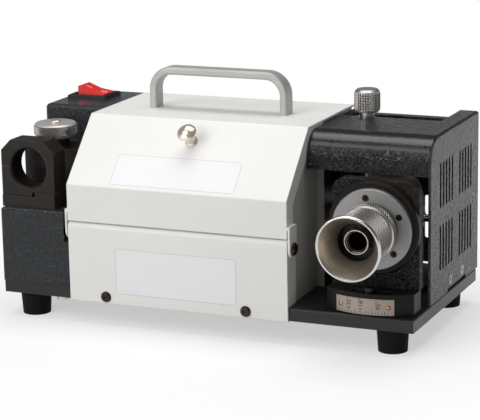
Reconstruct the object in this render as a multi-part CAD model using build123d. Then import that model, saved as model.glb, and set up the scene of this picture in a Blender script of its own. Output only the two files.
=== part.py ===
from build123d import *
import math
import os

# Bench drill bit sharpener, in millimetres.
# X runs to the operator's right, Y away from the operator and Z up.  Everything is laid out from the
# left front corner of the base plate's underside, and moved at the end so that the origin lies under
# the middle of the whole machine, where the feet stand.

# ---- driving dimensions -------------------------------------------------------------------------

# fits
RUN_FIT = 0.05          # radial clearance of a shaft or bush that turns
SLIDE_FIT = 0.1         # clearance each side of a slide
SEAT_GAP = 0.2          # clearance between a cover and what it seats on
SCREW_FIT = 0.25        # radial clearance of a screw in its hole
PANEL_GAP = 0.45        # gap between a moving sheet and the fixed sheet beside it

# base plate, feet and their screws
BASE_D = 145.5
BASE_T = 9.2
BASE_EDGE = 0.8
FOOT_R = 11.4
FOOT_TIP_R = 10.3
FOOT_H = 17.0
FOOT_INSET_X = 19.0
FOOT_INSET_Y = 12.6
FOOT_SCREW_R = 2.5
FOOT_SCREW_HEAD_R = 5.0
FOOT_SCREW_HEAD_H = 3.0
FOOT_POCKET_H = 10.0
FOOT_SCREW_BITE = 7.0
BASE_SCREW_R = 2.5
BASE_SCREW_HEAD_R = 4.6
BASE_SCREW_HEAD_H = 2.8

# white middle box: hood, front panel, top plate and side walls
BOX_X = 55.3
BOX_W = 171.25
CHAMBER_W = 91.45
BOX_FRONT = -1.5
SHEET = 1.5
PANEL_BOTTOM = -0.7
SEAM_Z = 58.66
SEAM_GAP = 0.3
BEND_Z = 85.9
SLOPE_TOP_Y = 41.2
BOX_TOP = 130.2
HOOD_BACK_Y = 69.6
TOP_BACK_Y = 134.2
PANEL_ROLL_R = 4.5
PANEL_LIP = 8.0
PANEL_RETURN = 16.0
HOOD_FLANGE = 12.0
HOOD_BEND_R = 2.0
WALL_INSET = 0.45
WALL_UNDER = 1.0
TOP_FOOT = 10.0
WALL_VENT_X = (98.0, 155.0)
WALL_VENT_Z = (40.0, 74.0)
REST_LIP = 8.0

# hood pivot and its ears
PIVOT_Y = 5.0
PIVOT_Z = 51.0
EAR_R = 6.5
EAR_STEP_Z = 65.0
EAR_STEP_H = 2.5
EAR_GAP = 0.65
PIVOT_R = 2.5
PIVOT_HEAD_R = 4.75
PIVOT_HEAD_H = 2.7
PIVOT_HEX_R = 1.73
PIVOT_HEX_DEEP = 1.6
NUT_R = 4.6
NUT_H = 4.0
HOOD_SWEEP_R = 9.4

# screws along the bottom of the front panel and of the rear panel
PANEL_SCREW_Z = 4.2
PANEL_SCREW_LEFT = 29.2
PANEL_SCREW_RIGHT = 32.05
PANEL_SCREW_R = 2.0
PANEL_SCREW_HEAD_R = 4.0
PANEL_SCREW_HEAD_H = 2.2
PANEL_SCREW_HEX_R = 1.45
PANEL_SCREW_HEX_DEEP = 1.3
PANEL_SCREW_BITE = 9.0
REAR_SCREW_INSET = 13.0

# hood knob
HOOD_KNOB_X = 142.0
HOOD_KNOB_UP = 43.0
HOOD_KNOB_H = 15.2
HOOD_KNOB_CAP = 3.4
HOOD_KNOB_R = 7.2
HOOD_KNOB_NECK_R = 3.4
HOOD_KNOB_FOOT_R = 4.7
HOOD_KNOB_STUD_R = 2.5
HOOD_KNOB_NUT_R = 4.6
HOOD_KNOB_NUT_T = 4.0

# carrying handle
HANDLE_X = 86.5
HANDLE_W = 110.0
HANDLE_Y = 75.0
HANDLE_D = 12.6
HANDLE_H = 31.1
HANDLE_T = 5.8
HANDLE_BEND_R = 17.5
HANDLE_EDGE = 1.6
HANDLE_SCREW_R = 1.7
HANDLE_SCREW_HEAD_R = 3.6
HANDLE_SCREW_HEAD_H = 2.4
HANDLE_SCREW_BITE = 9.0
HANDLE_SCREW_INSET = 3.0

# pedestal under the setting gauge, at the left front
PEDESTAL_X = 0.3
PEDESTAL_W = 51.2
PEDESTAL_TOP = 64.8
PEDESTAL_SHEET = 2.0
PEDESTAL_BEND_R = 2.0
PEDESTAL_FOOT = 12.0
PEDESTAL_SCREWS = ((45.0, 6.5), (7.0, 61.0), (45.0, 61.0))

# housing at the left rear, with the switch on it
HOUSING_X = 0.8
HOUSING_FRONT = 69.3
HOUSING_BACK = 137.5
HOUSING_TOP = 129.3
HOUSING_SHEET = 1.6
HOUSING_BEND_R = 3.4

# rocker switch
SWITCH_X = 21.5
SWITCH_Y = 111.0
BEZEL_L = 32.0
BEZEL_W = 27.0
BEZEL_T = 2.4
BEZEL_RIM = 2.8
SWITCH_BODY_H = 24.0
ROCKER_W = 18.0
ROCKER_HALF = 11.5
ROCKER_FOOT_HALF = 9.0
ROCKER_RISE = 7.5
ROCKER_DIP = 6.2
ROCKER_DROP = 1.0
ROCKER_TILT = 15.0
ROCKER_WELL = 12.0
ROCKER_AXLE_R = 1.6
ROCKER_AXLE_L = 1.0
ROCKER_PIVOT_DROP = 1.3

# cable gland in the housing's rear wall
GLAND_X = 14.0
GLAND_Z = 34.0
GLAND_R = 8.0
GLAND_STEM_R = 6.0
GLAND_BORE_R = 3.7
GLAND_OUT = 12.0
GLAND_IN = 8.0
GLAND_NUT_R = 9.5
GLAND_NUT_T = 4.0

# setting gauge on the pedestal
GAUGE_W = 43.0
GAUGE_FRONT = 2.5
GAUGE_D = 18.0
GAUGE_TOP = 114.7
GAUGE_CHAMFER = 8.0
GAUGE_BORE_X = 22.0
GAUGE_BORE_Z = 94.6
GAUGE_BORE_R = 14.55
GAUGE_BORE_CHAMFER = 1.4
WAY_Z = 73.2
GIB_Z = 76.4
WAY_SPLIT_X = 24.5
WAY_UNDERCUT = 2.4
WAY_PROUD = 0.7
SCRIBE_W = 0.6
SCRIBE_DEPTH = 0.5
CARRIER_X = 2.0
CARRIER_W = 48.0
CARRIER_Y = 34.0
CARRIER_D = 28.0
CARRIER_TOP = 103.0
SPINDLE_X = 22.0
SPINDLE_Y = 46.5
SPINDLE_R = 5.0
SPINDLE_NECK_R = 3.5
KNOB_SCREW_BITE = 2.0
KNOB_SCREW_HEAD_R = 4.0
KNOB_SCREW_HEAD_H = 1.6
COLLAR_R = 10.0
COLLAR_H = 6.4
WHEEL_KNOB_R = 15.8
WHEEL_KNOB_Z = 109.7
WHEEL_KNOB_H = 10.7
WHEEL_KNOB_EDGE = 1.2
WHEEL_KNOB_HOLE_R = 1.7
KNOB_HOLE_TURN = -28.0
CRANK_THROW = 3.0
CRANK_PIN_R = 2.0
CRANK_SLACK = 0.2
PLUNGER_W = 16.0
PLUNGER_H = 12.0
PLUNGER_FRONT = 27.0
PLUNGER_BACK = 65.0
PLUNGER_NOSE_R = 5.0

# motor, lying across the middle of the box
MOTOR_Y = 98.0
MOTOR_Z = 57.0
MOTOR_R = 34.0
MOTOR_WALL = 2.5
MOTOR_X = 86.0
MOTOR_L = 104.0
BELL_T = 8.0
BELL_LIP = 2.0
CORE_X = 104.0
CORE_L = 68.0
ROTOR_R = 20.0
AIR_GAP = 0.5
STATOR_SLOTS = 18
STATOR_SLOT_W = 3.0
STATOR_SLOT_H = 5.5
SHAFT_R = 6.0
SHAFT_LEFT = 64.0
SHAFT_TIP_L = 5.0
BEARING_R = 13.0
BEARING_W = 8.0
FAN_R = 29.0
FAN_W = 8.0
FAN_X = 66.0
FAN_BLADES = 7
FAN_BLADE_T = 1.6
FAN_HUB_R = 10.0
CRADLE_L = 56.0
CRADLE_HALF = 32.0
CRADLE_FOOT_T = 5.0
CRADLE_ARC = 50.0
CRADLE_SCREW_X = 20.0
CRADLE_SCREW_Y = 28.0
CAPACITOR_R = 14.0
CAPACITOR_H = 62.0
CAPACITOR_X = 36.0
CAPACITOR_Y = 118.0
CLIP_T = 1.2
CLIP_H = 14.0
CLIP_Z = 40.0
TERMINAL_X = 8.0
TERMINAL_L = 34.0
TERMINAL_W = 14.0
TERMINAL_H = 14.0
TERMINAL_POLES = 4
LEAD_R = 2.2
LEAD_BEND_R = 6.0
LEAD_Y = 82.0
LEAD_Z = 17.0
LEAD_X = 98.0
SWITCH_LEAD_X = 16.0
SWITCH_LEAD_Z = 44.0

# grinding wheel on the right end of the shaft
WHEEL_R = 39.0
WHEEL_OUT = 31.45
WHEEL_FLAT = 8.0
WHEEL_CONE = 18.0
WHEEL_CONE_DEG = 31.0
ABRASIVE_T = 3.0
HUB_R = 13.0
HUB_T = 3.0
WHEEL_NUT_R = 8.5
WHEEL_NUT_T = 5.0
SHAFT_TIP_R = 2.8

# covers of the grinding chamber, at the right
COVER_FRONT = 36.25
COVER_BACK = 149.2
COVER_TOP = 127.6
COVER_SHEET = 1.6
COVER_BEND_R = 18.5
COVER_EDGE_R = 2.0
LIP_Z = 101.3
NOTCH_Y = 104.0
NOTCH_INSET = 14.0
NOTCH_FLANGE = 6.0
VENT_Y = (59.0, 103.9)
VENT_PITCH = 6.7
VENT_COUNT = 5
VENT_W = 3.4
VENT_ROWS = ((29.3, 62.3), (74.7, 107.0))
COVER_SLOT_L = 42.7
COVER_SLOT_BACK = 26.3
COVER_SLOT_H = 2.8
COVER_SCREW_INSET = (7.2, 7.8)
COVER_SCREW_Z = 17.0
COVER_SCREW_R = 2.0
COVER_SCREW_HEAD_R = 3.6
COVER_SCREW_HEAD_H = 1.0
COVER_SCREW_HEX_R = 1.45
COVER_SCREW_HEX_DEEP = 1.6
BRACKET_T = 3.0
BRACKET_FOOT = 18.0
BRACKET_H = 15.0
BRACKET_SCREW_INSET = 12.0
REAR_TOP = 122.3
REAR_FLANGE = 5.5
REAR_BOTTOM = 1.0
REAR_SLOT_FROM = 43.0
REAR_SLOT_L = 20.0
REAR_SLOT_H = 1.8
REAR_VENT_FROM = 9.0
REAR_VENT_L = 36.9
STRIP_W = 5.4
STRIP_Y = 60.7
ROOF_LEDGE = 10.0
SHAFT_HOLE_R = 11.0

# web-thinning rest behind the wheel, fed by the knob on the roof
THIN_OUT = 18.45
THIN_Y = 111.5
THIN_SCREW_R = 3.0
THIN_NECK_R = 5.5
THIN_KNOB_R = 9.2
THIN_KNOB_Z = 130.0
THIN_KNOB_H = 16.6
THIN_KNOB_EDGE = 1.6
RAIL_W = 20.0
RAIL_T = 10.0
RAIL_BOTTOM = 70.0
RAIL_TOP = 121.0
RAIL_FOOT_H = 6.0
RAIL_CAP_H = 5.0
RAIL_ARM = 24.0
RAIL_SCREW_R = 2.0
RAIL_SCREW_HEAD_R = 4.0
RAIL_SCREW_HEAD_H = 2.5
RAIL_SCREW_Z = (82.0, 110.0)
TONGUE_W = 6.0
TONGUE_H = 4.0
REST_ARM_L = 27.0
REST_Y = 125.0
REST_Z = 99.0
REST_H = 14.0
REST_R = 19.5
REST_ARM_W = 24.0

# swivel base, angle scale and swivelling head
HEAD_OUT = 56.45
SWIVEL_Y = 63.0
SLAB_R = 61.5
SLAB_HALF = 32.0
SLAB_SHOULDER_Y = 25.0
SLAB_H = 15.0
SLAB_EYE_R = 11.0
SWIVEL_GAP = 0.3
SCALE_HALF_DEG = 20.0
SCALE_H = 11.4
SCALE_T = 0.8
SCALE_UP = 0.6
SCALE_TURN = -1.3
RIVET_R = 1.7
RIVET_HEAD_H = 0.8
RIVET_SHANK_R = 1.0
RIVET_BITE = 4.0
RIVET_DEG = 16.4
INDEX_DEG = -3.0
INDEX_W = 0.8
INDEX_H = 3.0
SWIVEL_PIN_R = 5.0
SWIVEL_PIN_HEAD_R = 7.0
SWIVEL_PIN_HEAD_H = 2.5
LOCK_Y = 8.5
LOCK_R = 2.5
LOCK_HEAD_R = 4.2
LOCK_HEAD_H = 3.6
LOCK_HEX_R = 1.73
LOCK_HEX_DEEP = 2.2
LOCK_BITE = 8.0
HEAD_Y = 22.0
HEAD_T = 8.0
HEAD_HALF = 32.0
HEAD_TOP = 100.5
HEAD_CORNER_R = 10.0
SWING_WIDE = 8.5
SWING_SHARP = 11.5

# tilted chuck axis; heights along it are measured from the front of the flange disc to the operator
CHUCK_TILT = 3.0
DISC_Y = 13.0
DISC_Z = 67.1
DISC_R = 29.0
DISC_T = 4.0
DISC_EDGE = 0.5
RING_R = 33.3
RING_EDGE = 1.0
RING_ROOM = 14.0
DISC_SCREW_PCD_R = 22.6
DISC_SCREW_R = 2.2
DISC_SCREW_COUNT = 5
DISC_SCREW_TURN = 27.0
DISC_SCREW_BITE = 3.2
DISC_SCREW_DEEP = 0.8
DISC_SCREW_HEX_R = 1.2
DISC_SCREW_HEX_DEEP = 2.0
BUSH_WALL = 2.5
BUSH_BACK = -30.0
BUSH_SHOULDER = 2.0
BUSH_SHOULDER_T = 3.0
CHUCK_R = 14.5
CHUCK_BACK = -26.0
GRIP_R = 19.6
GRIP_FROM = 0.8
GRIP_TO = 9.6
GRIP_EDGE = 0.8
SPIGOT_R = 12.4
SPIGOT_TO = 20.0
CHUCK_BORE_R = 8.9
NUT_FROM = 10.0
NUT_OUTER_R = 18.8
MOUTH_R = 23.2
MOUTH_AT = 46.8
MOUTH_RIM = 2.0
MOUTH_RIM_T = 2.5
MOUTH_END = 30.0
NUT_FLOOR = 21.6
NUT_FLOOR_R = 13.3
NUT_FLARE_FROM = 39.5
COLLET_BORE_R = 6.5
COLLET_BACK = -18.0
COLLET_FRONT = 30.0
COLLET_LIP_R = 8.1
COLLET_LIP_DEEP = 3.0
COLLET_EDGE = 0.2
COLLET_SLIT = 0.5
COLLET_SLITS = 6
COLLET_R = 8.8
SLIT_ROOT = 10.0

# collets kept under the hood
RACK_X = 72.0
RACK_L = 138.0
RACK_Y = 10.0
RACK_D = 38.0
RACK_SHELF = 26.0
RACK_DECK = 48.0
RACK_SHEET = 2.0
RACK_COLUMNS = 6
RACK_ROW_PITCH = 19.0
SPARE_R = 8.6
SPARE_L = 42.0
SPARE_EDGE = 1.2
SPARE_BORES = (1.5, 2.0, 2.5, 3.0, 3.5, 4.0, 4.5, 5.0, 5.5, 6.0, 6.25, 6.5)

# a cut this long goes right through any piece about the chuck's axis
THROUGH = (-50.0, 50.0)

# ---- sizes worked out from them -----------------------------------------------------------------

BOX_RIGHT = BOX_X + BOX_W
BASE_L = BOX_RIGHT + CHAMBER_W
COVER_X = BOX_RIGHT + PANEL_GAP
WHEEL_X = BOX_RIGHT + WHEEL_OUT
THIN_X = BOX_RIGHT + THIN_OUT
REST_X = THIN_X + REST_ARM_L
HEAD_X = BOX_RIGHT + HEAD_OUT
NOTCH_RIGHT = BASE_L - NOTCH_INSET
PANEL_SCREW_X = (BOX_X + PANEL_SCREW_LEFT, BOX_RIGHT - PANEL_SCREW_RIGHT)
REAR_SCREW_X = (COVER_X + REAR_SCREW_INSET, BASE_L - REAR_SCREW_INSET)
REAR_SLOT_X = (COVER_X + REAR_SLOT_FROM, COVER_X + REAR_SLOT_FROM + REAR_SLOT_L)
REAR_VENT_X = (COVER_X + REAR_VENT_FROM, COVER_X + REAR_VENT_FROM + REAR_VENT_L)
COVER_SLOT_Y = (BASE_D - COVER_SLOT_BACK - COVER_SLOT_L, BASE_D - COVER_SLOT_BACK)
COVER_SCREW_Y = (COVER_SLOT_Y[0] + COVER_SCREW_INSET[0], COVER_SLOT_Y[1] - COVER_SCREW_INSET[1])
BRACKET_SCREW_X = BASE_L - BRACKET_SCREW_INSET
BOX_MID = BOX_X + BOX_W / 2
SLOPE_RUN = SLOPE_TOP_Y - BOX_FRONT
SLOPE_RISE = BOX_TOP - BEND_Z
SLOPE_DEG = math.degrees(math.atan2(SLOPE_RISE, SLOPE_RUN))
HOOD_BOTTOM = SEAM_Z + SEAM_GAP
FEET = [
    (x, y)
    for x in (FOOT_INSET_X, BASE_L - FOOT_INSET_X)
    for y in (FOOT_INSET_Y, BASE_D - FOOT_INSET_Y)
]
PEDESTAL_RIGHT = PEDESTAL_X + PEDESTAL_W
HOOD_SEAT_Y = HOOD_BACK_Y + SEAM_GAP
HANDLE_LEGS = (HANDLE_X + HANDLE_SCREW_INSET, HANDLE_X + HANDLE_W - HANDLE_SCREW_INSET)
HANDLE_MID_Y = HANDLE_Y + HANDLE_D / 2
KNOB_FRAME = Pos(
    HOOD_KNOB_X,
    BOX_FRONT + HOOD_KNOB_UP * math.cos(math.radians(SLOPE_DEG)),
    BEND_Z + HOOD_KNOB_UP * math.sin(math.radians(SLOPE_DEG)),
) * Rot(SLOPE_DEG, 0, 0)
SWITCH_HALF_L = BEZEL_L / 2 - BEZEL_RIM
SWITCH_HALF_W = BEZEL_W / 2 - BEZEL_RIM
ROCKER_Z = HOUSING_TOP - ROCKER_PIVOT_DROP
PLUNGER_Z = GAUGE_BORE_Z - PLUNGER_H / 2
PLUNGER_TOP = PLUNGER_Z + PLUNGER_H
WALL_RIGHT = BOX_RIGHT - SHEET - WALL_INSET
WALL_LEFT = BOX_X + SHEET + WALL_INSET
WALL_INSIDE = (WALL_LEFT + SHEET, WALL_RIGHT - SHEET)
CHAMBER_X = WALL_RIGHT + SEAT_GAP / 2
CHAMBER_FACE = CHAMBER_X + SHEET
MOTOR_RIGHT = MOTOR_X + MOTOR_L
CRADLE_X = MOTOR_X + (MOTOR_L - CRADLE_L) / 2
CRADLE_MID_X = CRADLE_X + CRADLE_L / 2
CRADLE_SCREWS = [
    (CRADLE_MID_X + i * CRADLE_SCREW_X, MOTOR_Y + j * CRADLE_SCREW_Y) for i in (-1, 1) for j in (-1, 1)
]
BRACKET_SCREWS = [(BRACKET_SCREW_X, y) for y in COVER_SCREW_Y]
BASE_SCREWS = [*PEDESTAL_SCREWS, *CRADLE_SCREWS, *BRACKET_SCREWS]
WHEEL_RIGHT = WHEEL_X + WHEEL_FLAT + WHEEL_CONE
WHEEL_SMALL_R = WHEEL_R - WHEEL_CONE * math.tan(math.radians(WHEEL_CONE_DEG))
REAR_Y = BASE_D + SEAT_GAP
ROOF_UNDER = COVER_TOP - COVER_SHEET
RAIL_FACE = CHAMBER_FACE + RAIL_T
SLAB_Z = BASE_T + SWIVEL_GAP
SLAB_TOP = SLAB_Z + SLAB_H
LOCK_RADIUS = SWIVEL_Y - LOCK_Y
BUSH_R = CHUCK_R + RUN_FIT + BUSH_WALL
SHOULDER_R = BUSH_R + BUSH_SHOULDER
CHUCK_FRAME = Pos(HEAD_X, DISC_Y, DISC_Z) * Rot(90 + CHUCK_TILT, 0, 0)


# ---- plain shapes -------------------------------------------------------------------------------

def block(x, y, z):
    """A block that runs between two values along each axis."""
    size = Box(x[1] - x[0], y[1] - y[0], z[1] - z[0], align=(Align.MIN, Align.MIN, Align.MIN))
    return Pos(x[0], y[0], z[0]) * size


def rod_x(x, y, z, radius):
    """A round bar along X, from x[0] to x[1]."""
    bar = Cylinder(radius, x[1] - x[0], align=(Align.CENTER, Align.CENTER, Align.MIN))
    return Pos(x[0], y, z) * Rot(0, 90, 0) * bar


def rod_y(x, y, z, radius):
    """A round bar along Y, from y[0] to y[1]."""
    bar = Cylinder(radius, y[1] - y[0], align=(Align.CENTER, Align.CENTER, Align.MIN))
    return Pos(x, y[1], z) * Rot(90, 0, 0) * bar


def rod_z(x, y, z, radius):
    """A round bar along Z, from z[0] to z[1]."""
    bar = Cylinder(radius, z[1] - z[0], align=(Align.CENTER, Align.CENTER, Align.MIN))
    return Pos(x, y, z[0]) * bar


def turned(*profile):
    """A solid turned about Z from (radius, height) points."""
    return revolve(Plane.XZ * make_face(Polyline(*profile, close=True)), Axis.Z)


def side_profile(x, outline):
    """A solid between two X values with an outline of (Y, Z) points."""
    face = Plane(origin=(x[0], 0, 0), x_dir=(0, 1, 0), z_dir=(1, 0, 0)) * make_face(
        Polyline(*outline, close=True)
    )
    return extrude(face, x[1] - x[0], dir=(1, 0, 0))


def front_profile(y, outline):
    """A solid between two Y values with an outline of (X, Z) points."""
    face = Plane(origin=(0, y[1], 0), x_dir=(1, 0, 0), z_dir=(0, -1, 0)) * make_face(
        Polyline(*outline, close=True)
    )
    return extrude(face, y[1] - y[0], dir=(0, -1, 0))


def top_profile(z, outline):
    """A solid between two Z values with an outline of (X, Y) points."""
    face = Plane(origin=(0, 0, z[0])) * make_face(Polyline(*outline, close=True))
    return extrude(face, z[1] - z[0], dir=(0, 0, 1))


def slots(axis, starts, rows, depth):
    """Vertical vent slots with round ends, cut along X or Y, in groups by rows."""
    cuts = []
    for low, high in rows:
        for start in starts:
            for index in range(VENT_COUNT):
                along = start + index * VENT_PITCH
                pair = (along - VENT_W / 2, along + VENT_W / 2)
                tall = (low + VENT_W / 2, high - VENT_W / 2)
                if axis == "x":
                    cuts.append(block(depth, pair, tall))
                    cuts += [rod_x(depth, along, z, VENT_W / 2) for z in tall]
                else:
                    cuts.append(block(pair, depth, tall))
                    cuts += [rod_y(along, depth, z, VENT_W / 2) for z in tall]
    return cuts


def mirrored(shape):
    """The same shape on the other side of the white box."""
    return mirror(shape, Plane.YZ.offset(BOX_MID))


# ---- base plate, feet and what is screwed to them -----------------------------------------------

def make_base():
    """The steel base plate, drilled for its feet, panels and pivots."""
    plate = block((0, BASE_L), (0, BASE_D), (0, BASE_T))
    plate = chamfer(plate.edges().group_by(Axis.Z)[-1], BASE_EDGE)
    through = (-1, BASE_T + 1)
    for x, y in FEET:
        plate -= rod_z(x, y, (-1, FOOT_SCREW_BITE + SCREW_FIT), FOOT_SCREW_R + RUN_FIT)
    for x, y in BASE_SCREWS:
        plate -= rod_z(x, y, through, BASE_SCREW_R + SCREW_FIT)
    for x in PANEL_SCREW_X:
        plate -= rod_y(x, (-1, PANEL_SCREW_BITE), PANEL_SCREW_Z, PANEL_SCREW_R + RUN_FIT)
    for x in REAR_SCREW_X:
        bite = (BASE_D - PANEL_SCREW_BITE, BASE_D + 1)
        plate -= rod_y(x, bite, PANEL_SCREW_Z, PANEL_SCREW_R + RUN_FIT)
    plate -= rod_z(HEAD_X, SWIVEL_Y, through, SWIVEL_PIN_R + RUN_FIT)
    plate -= rod_z(HEAD_X, LOCK_Y, through, LOCK_R + RUN_FIT)
    index_x = HEAD_X + SWIVEL_Y * math.tan(math.radians(INDEX_DEG))
    notch = (index_x - INDEX_W / 2, index_x + INDEX_W / 2)
    return plate - block(notch, (-1, INDEX_W), (BASE_T - INDEX_H, BASE_T + 1))


def make_feet():
    """Four tapered rubber feet, each with a pocket for its screw."""
    pocket_r = FOOT_SCREW_HEAD_R + SCREW_FIT
    hole_r = FOOT_SCREW_R + SCREW_FIT
    pocket_z = FOOT_POCKET_H - FOOT_H
    foot = turned(
        (hole_r, pocket_z), (pocket_r, pocket_z), (pocket_r, -FOOT_H), (FOOT_TIP_R, -FOOT_H),
        (FOOT_R, 0), (hole_r, 0),
    )
    return Compound([Pos(x, y, 0) * foot for x, y in FEET])


def hex_socket(radius, deep):
    """The hexagon socket of a screw head, cut down from zero along Z."""
    return extrude(RegularPolygon(radius, 6), -deep)


def pan_screw(x, y, seat, tip, shank_r, head):
    """A pan head screw driven upwards, from its seat to its tip, with a (radius, height) head."""
    return rod_z(x, y, (seat - head[1], seat), head[0]) + rod_z(x, y, (seat, tip), shank_r)


def make_underside_screws():
    """Screws from below through the feet, and into the pedestal, motor cradle and cover bracket."""
    seat = FOOT_POCKET_H - FOOT_H
    foot_head = (FOOT_SCREW_HEAD_R, FOOT_SCREW_HEAD_H)
    base_head = (BASE_SCREW_HEAD_R, BASE_SCREW_HEAD_H)
    screws = [pan_screw(x, y, seat, FOOT_SCREW_BITE, FOOT_SCREW_R, foot_head) for x, y in FEET]
    tip = BASE_T + PEDESTAL_SHEET
    screws += [pan_screw(x, y, 0, tip, BASE_SCREW_R, base_head) for x, y in BASE_SCREWS]
    return Compound(screws)


# ---- white middle box ---------------------------------------------------------------------------

def hood_line(depth):
    """The hood's outline from its lower edge to its back edge, moved inwards by a depth."""
    low = depth * math.tan(math.radians(90 - SLOPE_DEG) / 2)
    high = depth * math.tan(math.radians(SLOPE_DEG) / 2)
    return [
        (BOX_FRONT + depth, HOOD_BOTTOM),
        (BOX_FRONT + depth, BEND_Z - low),
        (SLOPE_TOP_Y + high, BOX_TOP - depth),
        (HOOD_BACK_Y, BOX_TOP - depth),
    ]


def edges_along_x(shape, y, z):
    """The edges along X that pass through one (Y, Z) point."""
    near = []
    for edge in shape.edges().filter_by(Axis.X):
        middle = edge.center()
        if math.hypot(middle.Y - y, middle.Z - z) < 0.01:
            near.append(edge)
    return near


def make_hood():
    """The bent sheet hood with side flanges and two ears outside the front panel."""
    outside = hood_line(0)
    inside = hood_line(SHEET)
    hood = side_profile((BOX_X, BOX_RIGHT), outside + inside[::-1])
    hood = fillet([e for p in outside[1:3] for e in edges_along_x(hood, *p)], HOOD_BEND_R)
    hood = fillet([e for p in inside[1:3] for e in edges_along_x(hood, *p)], HOOD_BEND_R - SHEET)
    ear = make_ear()
    flange = side_profile((BOX_RIGHT - SHEET, BOX_RIGHT), inside + hood_line(HOOD_FLANGE)[::-1])
    flange -= rod_x((0, BASE_L), PIVOT_Y, PIVOT_Z, HOOD_SWEEP_R)
    hood += [flange, mirrored(flange), ear, mirrored(ear)]
    hood -= KNOB_FRAME * Cylinder(HOOD_KNOB_STUD_R + SCREW_FIT, 4 * SHEET)
    return hood


def make_ear():
    """The right ear: it steps outwards from the flange and carries the pivot hole."""
    plate = (BOX_RIGHT + EAR_GAP, BOX_RIGHT + EAR_GAP + SHEET)
    across = (PIVOT_Y - EAR_R, PIVOT_Y + EAR_R)
    top = EAR_STEP_Z + EAR_STEP_H
    ear = block(plate, across, (PIVOT_Z, top)) + rod_x(plate, PIVOT_Y, PIVOT_Z, EAR_R)
    ear += block((BOX_RIGHT - SHEET, plate[1]), (across[0], BOX_FRONT + HOOD_FLANGE), (EAR_STEP_Z, top))
    return ear - rod_x((BOX_MID, BASE_L), PIVOT_Y, PIVOT_Z, PIVOT_R + RUN_FIT)


def make_front_panel():
    """The fixed lower front: a tray with side returns and a rolled top edge."""
    back = BOX_FRONT + PANEL_RETURN
    panel = block((BOX_X, BOX_RIGHT), (BOX_FRONT, back), (PANEL_BOTTOM, SEAM_Z))
    panel = fillet(edges_along_x(panel, BOX_FRONT, SEAM_Z), PANEL_ROLL_R)
    hollow = block((BOX_X + SHEET, BOX_RIGHT - SHEET), (BOX_FRONT + SHEET, back + 1), (-9, SEAM_Z - SHEET))
    hollow = fillet(edges_along_x(hollow, BOX_FRONT + SHEET, SEAM_Z - SHEET), PANEL_ROLL_R - SHEET)
    panel -= hollow
    panel -= block((BOX_X + SHEET, BOX_RIGHT - SHEET), (PANEL_LIP, back + 1), (PIVOT_Z, SEAM_Z + 1))
    panel -= block((0, BASE_L), (BOX_FRONT + SHEET, back + 1), (-9, BASE_T + SEAT_GAP))
    panel -= rod_x((0, BASE_L), PIVOT_Y, PIVOT_Z, PIVOT_R + SCREW_FIT)
    for x in PANEL_SCREW_X:
        panel -= rod_y(x, (BOX_FRONT - 1, 1), PANEL_SCREW_Z, PANEL_SCREW_R + SCREW_FIT)
    return panel


def make_panel_screws():
    """Button head screws through the front and rear panels into the edges of the base."""
    head = turned(
        (0, 0), (PANEL_SCREW_HEAD_R, 0), (PANEL_SCREW_HEAD_R - 0.2, 0.45 * PANEL_SCREW_HEAD_H),
        (0.72 * PANEL_SCREW_HEAD_R, 0.85 * PANEL_SCREW_HEAD_H), (0, PANEL_SCREW_HEAD_H),
    )
    head -= Pos(0, 0, PANEL_SCREW_HEAD_H) * hex_socket(PANEL_SCREW_HEX_R, PANEL_SCREW_HEX_DEEP)
    screws = []
    for x in PANEL_SCREW_X:
        place = Pos(x, BOX_FRONT, PANEL_SCREW_Z) * Rot(90, 0, 0)
        shank = rod_y(x, (BOX_FRONT, PANEL_SCREW_BITE - SCREW_FIT), PANEL_SCREW_Z, PANEL_SCREW_R)
        screws.append(place * head + shank)
    for x in REAR_SCREW_X:
        place = Pos(x, REAR_Y + COVER_SHEET, PANEL_SCREW_Z) * Rot(-90, 0, 0)
        bite = (BASE_D - PANEL_SCREW_BITE + SCREW_FIT, REAR_Y + COVER_SHEET)
        screws.append(place * head + rod_y(x, bite, PANEL_SCREW_Z, PANEL_SCREW_R))
    return Compound(screws)


def make_hood_pivots():
    """A screw through each ear and panel return, with a nut inside."""
    outer = BOX_RIGHT + EAR_GAP + SHEET
    tip = BOX_RIGHT - SHEET - NUT_H - 1
    head = turned(
        (0, 0), (PIVOT_HEAD_R, 0), (PIVOT_HEAD_R - 0.3, 0.4 * PIVOT_HEAD_H),
        (0.7 * PIVOT_HEAD_R, 0.85 * PIVOT_HEAD_H), (0, PIVOT_HEAD_H),
    )
    head -= Pos(0, 0, PIVOT_HEAD_H) * hex_socket(PIVOT_HEX_R, PIVOT_HEX_DEEP)
    place = Pos(outer + RUN_FIT, PIVOT_Y, PIVOT_Z) * Rot(0, 90, 0)
    screw = place * head + rod_x((tip, outer + RUN_FIT), PIVOT_Y, PIVOT_Z, PIVOT_R)
    inner = BOX_RIGHT - SHEET
    nut = rod_x((inner - NUT_H, inner), PIVOT_Y, PIVOT_Z, NUT_R)
    nut -= rod_x((inner - NUT_H - 1, inner + 1), PIVOT_Y, PIVOT_Z, PIVOT_R + RUN_FIT)
    return Compound([screw, mirrored(screw), nut, mirrored(nut)])


def make_side_wall(x, hole):
    """An upright wall of the box between two X values, with a round hole given as (Y, Z, radius)."""
    line = hood_line(SHEET + WALL_UNDER)
    behind_lip = max(PANEL_LIP, PIVOT_Y + NUT_R) + WALL_UNDER
    outline = [
        (behind_lip, BASE_T), (behind_lip, HOOD_BOTTOM + WALL_UNDER),
        (line[1][0], HOOD_BOTTOM + WALL_UNDER), line[1], line[2], (HOOD_SEAT_Y, line[2][1]),
        (HOOD_SEAT_Y, BOX_TOP - SHEET), (TOP_BACK_Y - SHEET, BOX_TOP - SHEET), (TOP_BACK_Y - SHEET, BASE_T),
    ]
    return side_profile(x, outline) - rod_x((x[0] - 1, x[1] + 1), *hole)


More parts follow.
